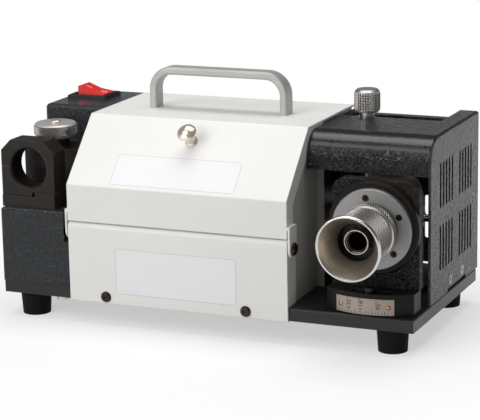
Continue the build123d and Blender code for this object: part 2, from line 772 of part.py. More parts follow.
def make_top_plate():
    """The fixed white top with its rear wall and the sunk lip that the hood closes on."""
    front = HOOD_SEAT_Y
    plate = block((BOX_X, BOX_RIGHT), (front, TOP_BACK_Y), (BASE_T, BOX_TOP))
    plate = fillet(edges_along_x(plate, TOP_BACK_Y, BOX_TOP), HOOD_BEND_R)
    plate -= block((0, BASE_L), (front - 1, TOP_BACK_Y - SHEET), (0, BOX_TOP - SHEET))
    plate -= block((0, WALL_LEFT), (front, TOP_BACK_Y + 1), (0, BOX_TOP - SHEET))
    plate -= block((WALL_RIGHT, BASE_L), (front, TOP_BACK_Y + 1), (0, BOX_TOP - SHEET))
    sunk = BOX_TOP - SHEET - SEAM_GAP
    plate += block(WALL_INSIDE, (front - REST_LIP, front + SHEET), (sunk - SHEET, sunk))
    plate += block(WALL_INSIDE, (front, front + SHEET), (sunk - SHEET, BOX_TOP))
    foot = (TOP_BACK_Y - SHEET, TOP_BACK_Y + TOP_FOOT)
    plate += block((WALL_LEFT, WALL_RIGHT), foot, (BASE_T, BASE_T + SHEET))
    for x in HANDLE_LEGS:
        plate -= rod_z(x, HANDLE_MID_Y, (sunk, BOX_TOP + 1), HANDLE_SCREW_R + SCREW_FIT)
    return plate - slots("y", WALL_VENT_X, [WALL_VENT_Z], (TOP_BACK_Y - SHEET - 1, TOP_BACK_Y + 1))


def make_partition():
    """The slotted wall between the collet room and the motor, under the hood's rest lip."""
    y = (HOOD_SEAT_Y - REST_LIP - SHEET, HOOD_SEAT_Y - REST_LIP)
    wall = block(WALL_INSIDE, y, (BASE_T, BOX_TOP - SHEET - SEAM_GAP))
    return wall - slots("y", WALL_VENT_X, [WALL_VENT_Z], (y[0] - 1, y[1] + 1))


def make_inner_walls():
    """The two side walls and the partition between them."""
    right = make_side_wall((WALL_INSIDE[1], WALL_RIGHT), (MOTOR_Y, MOTOR_Z, SHAFT_HOLE_R))
    right -= [rod_x((BOX_MID, BASE_L), THIN_Y, z, RAIL_SCREW_R + SCREW_FIT) for z in RAIL_SCREW_Z]
    left = make_side_wall((WALL_LEFT, WALL_INSIDE[0]), (LEAD_Y, LEAD_Z, LEAD_R + SEAT_GAP))
    return Compound([left, right, make_partition()])


def make_handle():
    """The carrying handle, one flat bar bent twice."""
    span = (HANDLE_X, HANDLE_X + HANDLE_W)
    depth = (HANDLE_Y, HANDLE_Y + HANDLE_D)
    top = BOX_TOP + HANDLE_H
    bar = block(span, depth, (BOX_TOP, top))
    bar = fillet(bar.edges().filter_by(Axis.Y).group_by(Axis.Z)[-1], HANDLE_BEND_R)
    grip = (span[0] + HANDLE_T, span[1] - HANDLE_T)
    inside = block(grip, (depth[0] - 1, depth[1] + 1), (BOX_TOP, top - HANDLE_T))
    bends = inside.edges().filter_by(Axis.Y).group_by(Axis.Z)[-1]
    bar -= fillet(bends, HANDLE_BEND_R - HANDLE_T)
    faces = [bar.faces().sort_by(Axis.Y)[0], bar.faces().sort_by(Axis.Y)[-1]]
    rims = [e for f in faces for e in f.edges() if e.center().Z > BOX_TOP + 0.01]
    bar = fillet(rims, HANDLE_EDGE)
    for x in HANDLE_LEGS:
        hole = (BOX_TOP - 1, BOX_TOP + HANDLE_SCREW_BITE + SCREW_FIT)
        bar -= rod_z(x, HANDLE_MID_Y, hole, HANDLE_SCREW_R + RUN_FIT)
    return bar


def make_handle_screws():
    """Screws from under the top plate into the handle's legs."""
    under = BOX_TOP - SHEET
    screws = []
    for x in HANDLE_LEGS:
        head = rod_z(x, HANDLE_MID_Y, (under - HANDLE_SCREW_HEAD_H, under), HANDLE_SCREW_HEAD_R)
        screws.append(head + rod_z(x, HANDLE_MID_Y, (under, BOX_TOP + HANDLE_SCREW_BITE), HANDLE_SCREW_R))
    return Compound(screws)


def make_hood_knob():
    """The mushroom knob on the slope, with its stud through the sheet and the nut behind it."""
    rise = HOOD_KNOB_H - HOOD_KNOB_CAP
    ball_r = (HOOD_KNOB_R ** 2 + HOOD_KNOB_CAP ** 2) / (2 * HOOD_KNOB_CAP)
    outline = Polyline(
        (0, 0), (HOOD_KNOB_FOOT_R, 0), (HOOD_KNOB_FOOT_R, 1.0), (HOOD_KNOB_NECK_R, 2.2),
        (HOOD_KNOB_NECK_R, rise - 3.2),
    )
    under = ThreePointArc(
        (HOOD_KNOB_NECK_R, rise - 3.2), (HOOD_KNOB_NECK_R + 1.5, rise - 0.9), (HOOD_KNOB_R, rise)
    )
    dome = RadiusArc((HOOD_KNOB_R, rise), (0, HOOD_KNOB_H), -ball_r)
    close = Line((0, HOOD_KNOB_H), (0, 0))
    knob = revolve(Plane.XZ * make_face([*outline.edges(), under, dome, close]), Axis.Z)
    seat = -SHEET - HOOD_KNOB_NUT_T
    knob += rod_z(0, 0, (seat - 1, 0), HOOD_KNOB_STUD_R)
    nut = rod_z(0, 0, (seat, -SHEET), HOOD_KNOB_NUT_R) - rod_z(0, 0, (-9, 1), HOOD_KNOB_STUD_R + RUN_FIT)
    return KNOB_FRAME * Compound([knob, nut])


# ---- left end: pedestal, housing, switch and gland ----------------------------------------------

def make_pedestal():
    """The folded box under the setting gauge, with a turned-in foot and a hole for the pivot screw."""
    x = (PEDESTAL_X, PEDESTAL_RIGHT)
    y = (BOX_FRONT, HOUSING_FRONT - SEAT_GAP)
    t = PEDESTAL_SHEET
    box = block(x, y, (BASE_T, PEDESTAL_TOP))
    rims = [e for e in box.edges().group_by(Axis.Z)[-1] if e.center().Y < y[1] - 1]
    box = fillet(rims, PEDESTAL_BEND_R)
    box -= block((x[0] + t, x[1] - t), (y[0] + t, y[1] - t), (BASE_T + t, PEDESTAL_TOP - t))
    foot = PEDESTAL_FOOT
    box -= block((x[0] + foot, x[1] - foot), (y[0] + foot, y[1] - foot), (0, BASE_T + t + 1))
    box -= rod_x((x[1] - t - 1, x[1] + 1), PIVOT_Y, PIVOT_Z, PIVOT_HEAD_R + 1.5)
    box += block((x[1] - t, BOX_X - EAR_GAP), (y[0], y[0] + t), (BASE_T, PIVOT_Z - EAR_R - 2))
    for screw_x, screw_y in PEDESTAL_SCREWS:
        box -= rod_z(screw_x, screw_y, (0, BASE_T + t + 1), BASE_SCREW_R + RUN_FIT)
    return box


def make_housing():
    """The folded cover at the left rear, open to the white box and to the base."""
    x = (HOUSING_X, BOX_X - SEAM_GAP)
    y = (HOUSING_FRONT, HOUSING_BACK)
    t = HOUSING_SHEET
    box = block(x, y, (BASE_T, HOUSING_TOP))
    top = [e for e in box.edges().group_by(Axis.Z)[-1] if e.center().X < x[1] - 1]
    posts = box.edges().filter_by(Axis.Z).group_by(Axis.X)[0]
    box = fillet([*top, *posts], HOUSING_BEND_R)
    inside = block((x[0] + t, x[1] + 9), (y[0] + t, y[1] - t), (0, HOUSING_TOP - t))
    inner_top = [e for e in inside.edges().group_by(Axis.Z)[-1] if e.center().X < x[1] - 1]
    inner_posts = inside.edges().filter_by(Axis.Z).group_by(Axis.X)[0]
    box -= fillet([*inner_top, *inner_posts], HOUSING_BEND_R - t)
    box -= block(
        (SWITCH_X - SWITCH_HALF_L - SEAT_GAP, SWITCH_X + SWITCH_HALF_L + SEAT_GAP),
        (SWITCH_Y - SWITCH_HALF_W - SEAT_GAP, SWITCH_Y + SWITCH_HALF_W + SEAT_GAP),
        (HOUSING_TOP - 9, HOUSING_TOP + 1),
    )
    return box - rod_y(GLAND_X, (y[1] - 9, y[1] + 1), GLAND_Z, GLAND_STEM_R + SCREW_FIT)


def make_bezel():
    """The switch's frame, with its body below the housing's top."""
    top = HOUSING_TOP + BEZEL_T
    frame = block(
        (SWITCH_X - BEZEL_L / 2, SWITCH_X + BEZEL_L / 2),
        (SWITCH_Y - BEZEL_W / 2, SWITCH_Y + BEZEL_W / 2),
        (HOUSING_TOP, top),
    )
    frame = chamfer(frame.edges().group_by(Axis.Z)[-1], BEZEL_T / 3)
    frame += block(
        (SWITCH_X - SWITCH_HALF_L, SWITCH_X + SWITCH_HALF_L),
        (SWITCH_Y - SWITCH_HALF_W, SWITCH_Y + SWITCH_HALF_W),
        (HOUSING_TOP - SWITCH_BODY_H, HOUSING_TOP),
    )
    well = (HOUSING_TOP - ROCKER_WELL, top + 1)
    frame -= block(
        (SWITCH_X - BEZEL_L / 2 + BEZEL_RIM, SWITCH_X + BEZEL_L / 2 - BEZEL_RIM),
        (SWITCH_Y - ROCKER_W / 2 - SEAM_GAP, SWITCH_Y + ROCKER_W / 2 + SEAM_GAP),
        (HOUSING_TOP - SEAM_GAP, top + 1),
    )
    frame -= block(
        (SWITCH_X - SWITCH_HALF_L + 1, SWITCH_X + SWITCH_HALF_L - 1),
        (SWITCH_Y - ROCKER_W / 2 - SEAM_GAP, SWITCH_Y + ROCKER_W / 2 + SEAM_GAP),
        well,
    )
    reach = ROCKER_W / 2 + ROCKER_AXLE_L + SLIDE_FIT
    across = (SWITCH_Y - reach, SWITCH_Y + reach)
    return frame - rod_y(SWITCH_X, across, ROCKER_Z, ROCKER_AXLE_R + RUN_FIT)


def make_rocker():
    """The rocker with its axle stubs, shown with the far end pressed."""
    outline = [
        (-ROCKER_HALF, ROCKER_RISE), (0, ROCKER_DIP), (ROCKER_HALF, ROCKER_RISE),
        (ROCKER_FOOT_HALF, -ROCKER_DROP), (3, -ROCKER_WELL + 2), (-3, -ROCKER_WELL + 2),
        (-ROCKER_FOOT_HALF, -ROCKER_DROP),
    ]
    rocker = front_profile((-ROCKER_W / 2, ROCKER_W / 2), outline)
    rocker = chamfer(rocker.edges().group_by(Axis.Z)[-1], 0.5)
    reach = ROCKER_W / 2 + ROCKER_AXLE_L
    rocker += rod_y(0, (-reach, reach), 0, ROCKER_AXLE_R)
    return Pos(SWITCH_X, SWITCH_Y, ROCKER_Z) * Rot(0, ROCKER_TILT, 0) * rocker


def make_gland():
    """The cable gland through the housing's rear wall, with its locknut inside."""
    out = (HOUSING_BACK, HOUSING_BACK + GLAND_OUT)
    stem = (HOUSING_BACK - HOUSING_SHEET - GLAND_IN, HOUSING_BACK)
    body = rod_y(GLAND_X, out, GLAND_Z, GLAND_R)
    body = chamfer(body.edges().sort_by(Axis.Y)[-1], 1.5)
    body += rod_y(GLAND_X, stem, GLAND_Z, GLAND_STEM_R)
    body -= rod_y(GLAND_X, (stem[0] - 1, out[1] + 1), GLAND_Z, GLAND_BORE_R)
    wall = HOUSING_BACK - HOUSING_SHEET
    nut = rod_y(GLAND_X, (wall - GLAND_NUT_T, wall), GLAND_Z, GLAND_NUT_R)
    nut -= rod_y(GLAND_X, (wall - 9, wall + 1), GLAND_Z, GLAND_STEM_R + RUN_FIT)
    return Compound([body, nut])


# ---- drill setting gauge ------------------------------------------------------------------------

def make_gauge_socket():
    """The bored block that the chuck is put into to set how far the drill stands out."""
    x = (0, GAUGE_W)
    y = (GAUGE_FRONT, GAUGE_FRONT + GAUGE_D)
    socket = block(x, y, (WAY_Z + SEAT_GAP, GAUGE_TOP))
    corners = socket.edges().filter_by(Axis.Y).group_by(Axis.Z)[-1]
    socket = chamfer(corners, GAUGE_CHAMFER)
    socket -= block((WAY_SPLIT_X, x[1] + 1), (y[0] - 1, y[1] + 1), (0, GIB_Z + SEAT_GAP))
    bore = rod_y(GAUGE_BORE_X, (y[0] - 1, y[1] + 1), GAUGE_BORE_Z, GAUGE_BORE_R)
    socket -= bore
    mouths = socket.edges().filter_by(GeomType.CIRCLE)
    socket = chamfer([mouths.sort_by(Axis.Y)[0], mouths.sort_by(Axis.Y)[-1]], GAUGE_BORE_CHAMFER)
    line = (GAUGE_BORE_Z - SCRIBE_W / 2, GAUGE_BORE_Z + SCRIBE_W / 2)
    return socket - block((-1, GAUGE_BORE_X - GAUGE_BORE_R), (y[0] - 1, y[0] + SCRIBE_DEPTH), line)


def make_gauge_way():
    """The socket's foot in two halves: one with an undercut flank, and a gib that wedges against it."""
    y = (GAUGE_FRONT - WAY_PROUD, GAUGE_FRONT + GAUGE_D)
    low = WAY_SPLIT_X
    high = low + WAY_UNDERCUT
    half = front_profile(y, [(0, PEDESTAL_TOP), (low, PEDESTAL_TOP), (high, WAY_Z), (0, WAY_Z)])
    low += SEAT_GAP
    high += SEAT_GAP
    gib = front_profile(
        y, [(low, PEDESTAL_TOP), (GAUGE_W, PEDESTAL_TOP), (GAUGE_W, GIB_Z), (high, GIB_Z), (high, WAY_Z)]
    )
    return Compound([half, gib])


def make_gauge_carrier():
    """The block behind the socket that guides the stop and carries the knob's spindle."""
    x = (CARRIER_X, CARRIER_X + CARRIER_W)
    y = (CARRIER_Y, CARRIER_Y + CARRIER_D)
    carrier = block(x, y, (PEDESTAL_TOP, CARRIER_TOP))
    carrier += rod_z(SPINDLE_X, SPINDLE_Y, (CARRIER_TOP, CARRIER_TOP + COLLAR_H), COLLAR_R)
    half = PLUNGER_W / 2 + SLIDE_FIT
    channel = (PLUNGER_Z - SLIDE_FIT, PLUNGER_Z + PLUNGER_H + SLIDE_FIT)
    carrier -= block((GAUGE_BORE_X - half, GAUGE_BORE_X + half), (y[0] - 1, y[1] + 1), channel)
    return carrier - rod_z(SPINDLE_X, SPINDLE_Y, (GAUGE_BORE_Z, GAUGE_TOP), SPINDLE_R + RUN_FIT)


def make_gauge_stop():
    """The stop that the drill's tip meets, with a cross slot for the crank pin."""
    half = PLUNGER_W / 2
    stop = block(
        (GAUGE_BORE_X - half, GAUGE_BORE_X + half), (CARRIER_Y - 3, PLUNGER_BACK),
        (PLUNGER_Z, PLUNGER_Z + PLUNGER_H),
    )
    stop += rod_y(GAUGE_BORE_X, (PLUNGER_FRONT, CARRIER_Y), GAUGE_BORE_Z, PLUNGER_NOSE_R)
    reach = CRANK_THROW + CRANK_PIN_R + 2 * CRANK_SLACK
    pin = CRANK_PIN_R + CRANK_SLACK
    return stop - block(
        (SPINDLE_X - reach, SPINDLE_X + reach), (SPINDLE_Y - pin, SPINDLE_Y + pin),
        (GAUGE_BORE_Z - 2, PLUNGER_TOP + 1),
    )


def make_gauge_spindle():
    """The knob's spindle with a crank pin in the stop's slot, and the cap screw on top."""
    top = WHEEL_KNOB_Z + WHEEL_KNOB_H
    low = PLUNGER_TOP + 2 * SLIDE_FIT
    neck_top = top - KNOB_SCREW_BITE
    spindle = rod_z(SPINDLE_X, SPINDLE_Y, (low, WHEEL_KNOB_Z), SPINDLE_R)
    spindle += rod_z(SPINDLE_X, SPINDLE_Y, (WHEEL_KNOB_Z, neck_top), SPINDLE_NECK_R)
    spindle += rod_z(SPINDLE_X + CRANK_THROW, SPINDLE_Y, (GAUGE_BORE_Z - 1, low), CRANK_PIN_R)
    head = rod_z(SPINDLE_X, SPINDLE_Y, (top, top + KNOB_SCREW_HEAD_H), KNOB_SCREW_HEAD_R)
    head = chamfer(head.edges().group_by(Axis.Z)[-1], KNOB_SCREW_HEAD_H / 3)
    head += rod_z(SPINDLE_X, SPINDLE_Y, (neck_top, top), SPINDLE_NECK_R)
    return Compound([spindle, head])


def make_gauge_knob():
    """The knurled thumb wheel with one cross hole in its rim."""
    top = WHEEL_KNOB_H
    edge = WHEEL_KNOB_EDGE
    bore = SPINDLE_NECK_R + RUN_FIT
    knob = turned(
        (bore, 0), (WHEEL_KNOB_R - 2.0, 0), (WHEEL_KNOB_R, 2.0), (WHEEL_KNOB_R, top - edge),
        (WHEEL_KNOB_R - edge, top), (bore, top),
    )
    cross = rod_x((WHEEL_KNOB_R - 6, WHEEL_KNOB_R + 1), 0, top / 2, WHEEL_KNOB_HOLE_R)
    knob -= Rot(0, 0, KNOB_HOLE_TURN) * cross
    return Pos(SPINDLE_X, SPINDLE_Y, WHEEL_KNOB_Z) * knob



# ---- motor and what feeds it --------------------------------------------------------------------

def make_motor_shell():
    """The motor's tube between its two end bells, with a hole for the leads."""
    x = (MOTOR_X + BELL_LIP, MOTOR_RIGHT - BELL_LIP)
    shell = rod_x(x, MOTOR_Y, MOTOR_Z, MOTOR_R)
    shell -= rod_x((x[0] - 1, x[1] + 1), MOTOR_Y, MOTOR_Z, MOTOR_R - MOTOR_WALL)
    return shell - rod_z(LEAD_X, LEAD_Y, (LEAD_Z, MOTOR_Z), LEAD_R + SCREW_FIT)


def make_bell(x, inwards):
    """An end bell from its outer face, with a spigot in the tube and a pocket for the bearing."""
    lip = sorted((x, x + inwards * BELL_LIP))
    full = sorted((x, x + inwards * BELL_T))
    bell = rod_x(full, MOTOR_Y, MOTOR_Z, MOTOR_R - MOTOR_WALL - RUN_FIT)
    bell += rod_x(lip, MOTOR_Y, MOTOR_Z, MOTOR_R)
    bell -= rod_x(sorted((x + inwards * BELL_LIP, x + inwards * (BELL_T + 1))), MOTOR_Y, MOTOR_Z, BEARING_R)
    return bell - rod_x((full[0] - 1, full[1] + 1), MOTOR_Y, MOTOR_Z, BEARING_R - BELL_LIP)


def make_motor_bells():
    """Both end bells."""
    return Compound([make_bell(MOTOR_X, 1), make_bell(MOTOR_RIGHT, -1)])


def make_motor_bearings():
    """A ball bearing in each bell, as a plain ring."""
    rings = []
    for start in (MOTOR_X + BELL_LIP, MOTOR_RIGHT - BELL_LIP - BEARING_W):
        ring = rod_x((start, start + BEARING_W), MOTOR_Y, MOTOR_Z, BEARING_R - RUN_FIT)
        rings.append(ring - rod_x((start - 1, start + BEARING_W + 1), MOTOR_Y, MOTOR_Z, SHAFT_R + RUN_FIT))
    return Compound(rings)


def make_stator():
    """The stator pack with slots for its windings round the bore."""
    x = (CORE_X, CORE_X + CORE_L)
    bore = ROTOR_R + AIR_GAP
    core = rod_x(x, MOTOR_Y, MOTOR_Z, MOTOR_R - MOTOR_WALL - RUN_FIT)
    core -= rod_x((x[0] - 1, x[1] + 1), MOTOR_Y, MOTOR_Z, bore)
    across = (-STATOR_SLOT_W / 2, STATOR_SLOT_W / 2)
    slot = block((x[0] - 1, x[1] + 1), across, (bore - 1, bore + STATOR_SLOT_H))
    for index in range(STATOR_SLOTS):
        core -= Pos(0, MOTOR_Y, MOTOR_Z) * Rot(index * 360 / STATOR_SLOTS, 0, 0) * slot
    return core


def make_rotor():
    """The rotor core on the shaft."""
    x = (CORE_X, CORE_X + CORE_L)
    return rod_x(x, MOTOR_Y, MOTOR_Z, ROTOR_R) - rod_x((x[0] - 1, x[1] + 1), MOTOR_Y, MOTOR_Z, SHAFT_R)


def make_shaft():
    """The long shaft that carries the fan, the rotor and the grinding wheel."""
    nut_end = WHEEL_RIGHT + HUB_T + WHEEL_NUT_T
    shaft = rod_x((SHAFT_LEFT, nut_end), MOTOR_Y, MOTOR_Z, SHAFT_R)
    return shaft + rod_x((nut_end, nut_end + SHAFT_TIP_L), MOTOR_Y, MOTOR_Z, SHAFT_TIP_R)


def make_fan():
    """The cooling fan at the shaft's left end, a disc with straight blades."""
    fan = rod_x((FAN_X, FAN_X + FAN_BLADE_T), MOTOR_Y, MOTOR_Z, FAN_R)
    fan += rod_x((FAN_X, FAN_X + FAN_W), MOTOR_Y, MOTOR_Z, FAN_HUB_R)
    blade = block((FAN_X, FAN_X + FAN_W), (-FAN_BLADE_T / 2, FAN_BLADE_T / 2), (FAN_HUB_R - 1, FAN_R - 1))
    for index in range(FAN_BLADES):
        fan += Pos(0, MOTOR_Y, MOTOR_Z) * Rot(index * 360 / FAN_BLADES, 0, 0) * blade
    return fan - rod_x((FAN_X - 1, FAN_X + FAN_W + 1), MOTOR_Y, MOTOR_Z, SHAFT_R)


def make_cradle():
    """The saddle under the motor, screwed to the base."""
    top = MOTOR_Z - MOTOR_R * math.cos(math.radians(CRADLE_ARC))
    arm = MOTOR_R * math.sin(math.radians(CRADLE_ARC)) + CRADLE_FOOT_T
    foot = BASE_T + CRADLE_FOOT_T
    outline = [
        (MOTOR_Y - CRADLE_HALF, BASE_T), (MOTOR_Y + CRADLE_HALF, BASE_T), (MOTOR_Y + CRADLE_HALF, foot),
        (MOTOR_Y + arm, top), (MOTOR_Y - arm, top), (MOTOR_Y - CRADLE_HALF, foot),
    ]
    x = (CRADLE_X, CRADLE_X + CRADLE_L)
    cradle = side_profile(x, outline)
    cradle -= rod_x((x[0] - 1, x[1] + 1), MOTOR_Y, MOTOR_Z, MOTOR_R + RUN_FIT)
    for place in CRADLE_SCREWS:
        cradle -= rod_z(*place, (0, BASE_T + PEDESTAL_SHEET + SCREW_FIT), BASE_SCREW_R + RUN_FIT)
    return cradle


def make_capacitor():
    """The run capacitor, upright in a spring clip on the base."""
    can = rod_z(CAPACITOR_X, CAPACITOR_Y, (BASE_T, BASE_T + CAPACITOR_H), CAPACITOR_R)
    can = fillet(can.edges().group_by(Axis.Z)[-1], CLIP_T)
    clip_z = (CLIP_Z, CLIP_Z + CLIP_H)
    clip = rod_z(CAPACITOR_X, CAPACITOR_Y, clip_z, CAPACITOR_R + RUN_FIT + CLIP_T)
    tab = (CAPACITOR_X - CLIP_H / 2, CAPACITOR_X + CLIP_H / 2)
    clip += block(tab, (CAPACITOR_Y, HOUSING_BACK - HOUSING_SHEET), clip_z)
    clip -= rod_z(CAPACITOR_X, CAPACITOR_Y, (0, HOUSING_TOP), CAPACITOR_R + RUN_FIT)
    return Compound([can, clip])


def make_lead(*points):
    """A sheathed lead along straight runs with rounded corners."""
    path = FilletPolyline(*points, radius=LEAD_BEND_R)
    return sweep(Plane(path @ 0, z_dir=path % 0) * Circle(LEAD_R), path)


def make_wiring():
    """The terminal block on the base, with the leads that run to the switch and to the motor."""
    x = (TERMINAL_X, TERMINAL_X + TERMINAL_L)
    y = (LEAD_Y - TERMINAL_W / 2, LEAD_Y + TERMINAL_W / 2)
    top = BASE_T + TERMINAL_H
    terminal = block(x, y, (BASE_T, top))
    pitch = TERMINAL_L / TERMINAL_POLES
    for index in range(TERMINAL_POLES):
        terminal -= rod_z(x[0] + (index + 0.5) * pitch, y[0] + LEAD_R + 1, (top - 4, top + 1), LEAD_R)
    inside = MOTOR_Z - math.sqrt((MOTOR_R - MOTOR_WALL) ** 2 - (MOTOR_Y - LEAD_Y) ** 2)
    motor_lead = make_lead((x[1], LEAD_Y, LEAD_Z), (LEAD_X, LEAD_Y, LEAD_Z), (LEAD_X, LEAD_Y, inside))
    switch_lead = make_lead(
        (SWITCH_LEAD_X, LEAD_Y, top), (SWITCH_LEAD_X, LEAD_Y, SWITCH_LEAD_Z),
        (SWITCH_LEAD_X, SWITCH_Y, SWITCH_LEAD_Z), (SWITCH_LEAD_X, SWITCH_Y, HOUSING_TOP - SWITCH_BODY_H),
    )
    return Compound([terminal, motor_lead, switch_lead])


# ---- grinding wheel -----------------------------------------------------------------------------

def wheel_profile(depth):
    """The wheel's outline as (radius, place along the shaft), moved inwards by a depth."""
    lean = math.tan(math.radians(WHEEL_CONE_DEG))
    drop = depth / math.cos(math.radians(WHEEL_CONE_DEG))
    knee = WHEEL_X + WHEEL_FLAT + (drop - depth) / lean
    return [
        (0, WHEEL_X), (WHEEL_R - depth, WHEEL_X), (WHEEL_R - depth, knee),
        (WHEEL_SMALL_R - drop, WHEEL_RIGHT), (0, WHEEL_RIGHT),
    ]


def on_shaft(shape):
    """Lays a shape that was turned about Z along the motor's shaft."""
    return Pos(0, MOTOR_Y, MOTOR_Z) * Rot(0, 90, 0) * shape


def make_wheel_core():
    """The wheel's metal body."""
    bore = rod_x((WHEEL_X - 1, WHEEL_RIGHT + 1), MOTOR_Y, MOTOR_Z, SHAFT_R)
    return on_shaft(turned(*wheel_profile(ABRASIVE_T))) - bore


def make_abrasive():
    """The abrasive layer on the wheel's rim and cone."""
    return on_shaft(turned(*wheel_profile(0)) - turned(*wheel_profile(ABRASIVE_T)))


def make_wheel_clamp():
    """The flange on each side of the wheel and the nut."""
    nut_end = WHEEL_RIGHT + HUB_T + WHEEL_NUT_T
    solids = [
        rod_x((WHEEL_X - HUB_T, WHEEL_X), MOTOR_Y, MOTOR_Z, HUB_R),
        rod_x((WHEEL_RIGHT, WHEEL_RIGHT + HUB_T), MOTOR_Y, MOTOR_Z, HUB_R),
        extrude(Plane.YZ.offset(WHEEL_RIGHT + HUB_T) * RegularPolygon(WHEEL_NUT_R, 6), WHEEL_NUT_T),
    ]
    solids[2] = Pos(0, MOTOR_Y, MOTOR_Z) * solids[2]
    bore = rod_x((WHEEL_X - HUB_T - 1, nut_end + 1), MOTOR_Y, MOTOR_Z, SHAFT_R)
    return Compound([solid - bore for solid in solids])


# ---- covers of the grinding chamber -------------------------------------------------------------

def make_chamber_wall():
    """The chamber's left wall: a web, a narrow strip facing the operator and a ledge under the roof."""
    x = (CHAMBER_X, CHAMBER_FACE)
    top = ROOF_UNDER - SEAT_GAP / 2
    wall = block(x, (STRIP_Y, BASE_D), (BASE_T, top))
    wall += block((x[0], x[0] + STRIP_W), (STRIP_Y, STRIP_Y + SHEET), (BASE_T, top))
    ledge_back = NOTCH_Y - COVER_SHEET - SEAT_GAP
    wall += block((x[0], x[0] + ROOF_LEDGE), (STRIP_Y, ledge_back), (top - SHEET, top))
    wall -= rod_x((0, BASE_L), MOTOR_Y, MOTOR_Z, SHAFT_HOLE_R)
    hood_room = (BOX_TOP - HOOD_FLANGE - PANEL_GAP, BOX_TOP)
    wall -= block((0, BOX_RIGHT + PANEL_GAP), (0, HOOD_BACK_Y + PANEL_GAP), hood_room)
    return wall - [rod_x((0, BASE_L), THIN_Y, z, RAIL_SCREW_R + SCREW_FIT) for z in RAIL_SCREW_Z]


def make_right_cover():
    """The bent cover over the chamber: roof with a deep front lip, and the right side panel."""
    side = (BASE_L - COVER_SHEET, BASE_L)
    depth = (COVER_FRONT, COVER_BACK)
    cover = block((COVER_X, BASE_L), depth, (BASE_T + SEAT_GAP / 2, COVER_TOP))
    cover = fillet(edges_along_x(cover, COVER_FRONT, COVER_TOP), COVER_BEND_R)
    rims = [e for e in cover.faces().sort_by(Axis.X)[-1].edges() if e.center().Z > LIP_Z]
    rims = [e for e in rims if e.center().Y < COVER_BACK - 1]
    rims = [e for e in rims if e.geom_type == GeomType.CIRCLE or e.center().Z > COVER_TOP - 1]
    cover = fillet(rims, COVER_EDGE_R)
    room = block((COVER_X - 1, side[0]), (depth[0] + COVER_SHEET, depth[1] + 1), (0, ROOF_UNDER))
    cover -= fillet(edges_along_x(room, depth[0] + COVER_SHEET, ROOF_UNDER), COVER_BEND_R - COVER_SHEET)
    cover -= block((COVER_X - 1, side[0]), (depth[0] - 1, depth[0] + COVER_BEND_R), (0, LIP_Z))
    cover -= block((COVER_X - 1, NOTCH_RIGHT), (NOTCH_Y, depth[1] + 1), (ROOF_UNDER - 1, COVER_TOP + 1))
    flange = (COVER_TOP - NOTCH_FLANGE, ROOF_UNDER)
    cover += block((COVER_X, NOTCH_RIGHT + COVER_SHEET), (NOTCH_Y - COVER_SHEET, NOTCH_Y), flange)
    along = (NOTCH_Y - COVER_SHEET, REAR_Y - SEAT_GAP)
    cover += block((NOTCH_RIGHT, NOTCH_RIGHT + COVER_SHEET), along, flange)
    cover -= block((side[0] - 1, BASE_L + 1), COVER_SLOT_Y, (0, BASE_T + COVER_SLOT_H))
    for y in COVER_SCREW_Y:
        cover -= rod_x((side[0] - 1, BASE_L + 1), y, COVER_SCREW_Z, COVER_SCREW_R + SCREW_FIT)
        cover -= Pos(BASE_L, y, COVER_SCREW_Z) * Rot(0, 90, 0) * screw_cone(RUN_FIT)
    return cover - slots("x", VENT_Y, VENT_ROWS, (side[0] - 1, BASE_L + 1))


def screw_cone(extra):
    """The cone of a countersunk head, or with extra radius of its sink, with its wide face at zero."""
    low = (Align.CENTER, Align.CENTER, Align.MAX)
    return Cone(COVER_SCREW_R + extra, COVER_SCREW_HEAD_R + extra, COVER_SCREW_HEAD_H, align=low)


def make_cover_screws():
    """Countersunk screws through the side panel into the bracket."""
    tip = BASE_L - COVER_SHEET - BRACKET_T
    screws = []
    for y in COVER_SCREW_Y:
        place = Pos(BASE_L, y, COVER_SCREW_Z) * Rot(0, 90, 0)
        screw = place * screw_cone(0)
        screw += rod_x((tip, BASE_L - COVER_SCREW_HEAD_H / 2), y, COVER_SCREW_Z, COVER_SCREW_R)
        screws.append(screw - place * hex_socket(COVER_SCREW_HEX_R, COVER_SCREW_HEX_DEEP))
    return Compound(screws)


def make_cover_bracket():
    """The angle on the base that the side panel is screwed to."""
    face = BASE_L - COVER_SHEET - RUN_FIT
    y = (COVER_SLOT_Y[0] + SEAT_GAP, COVER_SLOT_Y[1] - SEAT_GAP)
    bracket = block((face - BRACKET_T, face), y, (BASE_T, BASE_T + BRACKET_H))
    bracket += block((face - BRACKET_FOOT, face), y, (BASE_T, BASE_T + BRACKET_T))
    for screw_y in COVER_SCREW_Y:
        bracket -= rod_x((face - BRACKET_T - 1, face + 1), screw_y, COVER_SCREW_Z, COVER_SCREW_R + RUN_FIT)
        bracket -= rod_z(BRACKET_SCREW_X, screw_y, (0, BASE_T + BRACKET_T + 1), BASE_SCREW_R + RUN_FIT)
    return bracket


def make_rear_panel():
    """The slotted rear panel of the chamber, screwed to the back edge of the base."""
    x = (COVER_X, BASE_L - COVER_SHEET - SEAT_GAP)
    y = (REAR_Y, REAR_Y + COVER_SHEET)
    panel = block(x, y, (REAR_BOTTOM, REAR_TOP))
    flange = (REAR_Y - REAR_FLANGE, y[1])
    panel += block((x[0], NOTCH_RIGHT - SEAT_GAP), flange, (REAR_TOP - COVER_SHEET, REAR_TOP))
    panel -= slots("y", REAR_VENT_X, VENT_ROWS[:1], (y[0] - 1, y[1] + 1))
    panel -= block(REAR_SLOT_X, (y[0] - 1, y[1] + 1), (BASE_T, BASE_T + REAR_SLOT_H))
    for screw_x in REAR_SCREW_X:
        panel -= rod_y(screw_x, (y[0] - 1, y[1] + 1), PANEL_SCREW_Z, PANEL_SCREW_R + SCREW_FIT)
    return panel


# ---- web thinning rest --------------------------------------------------------------------------

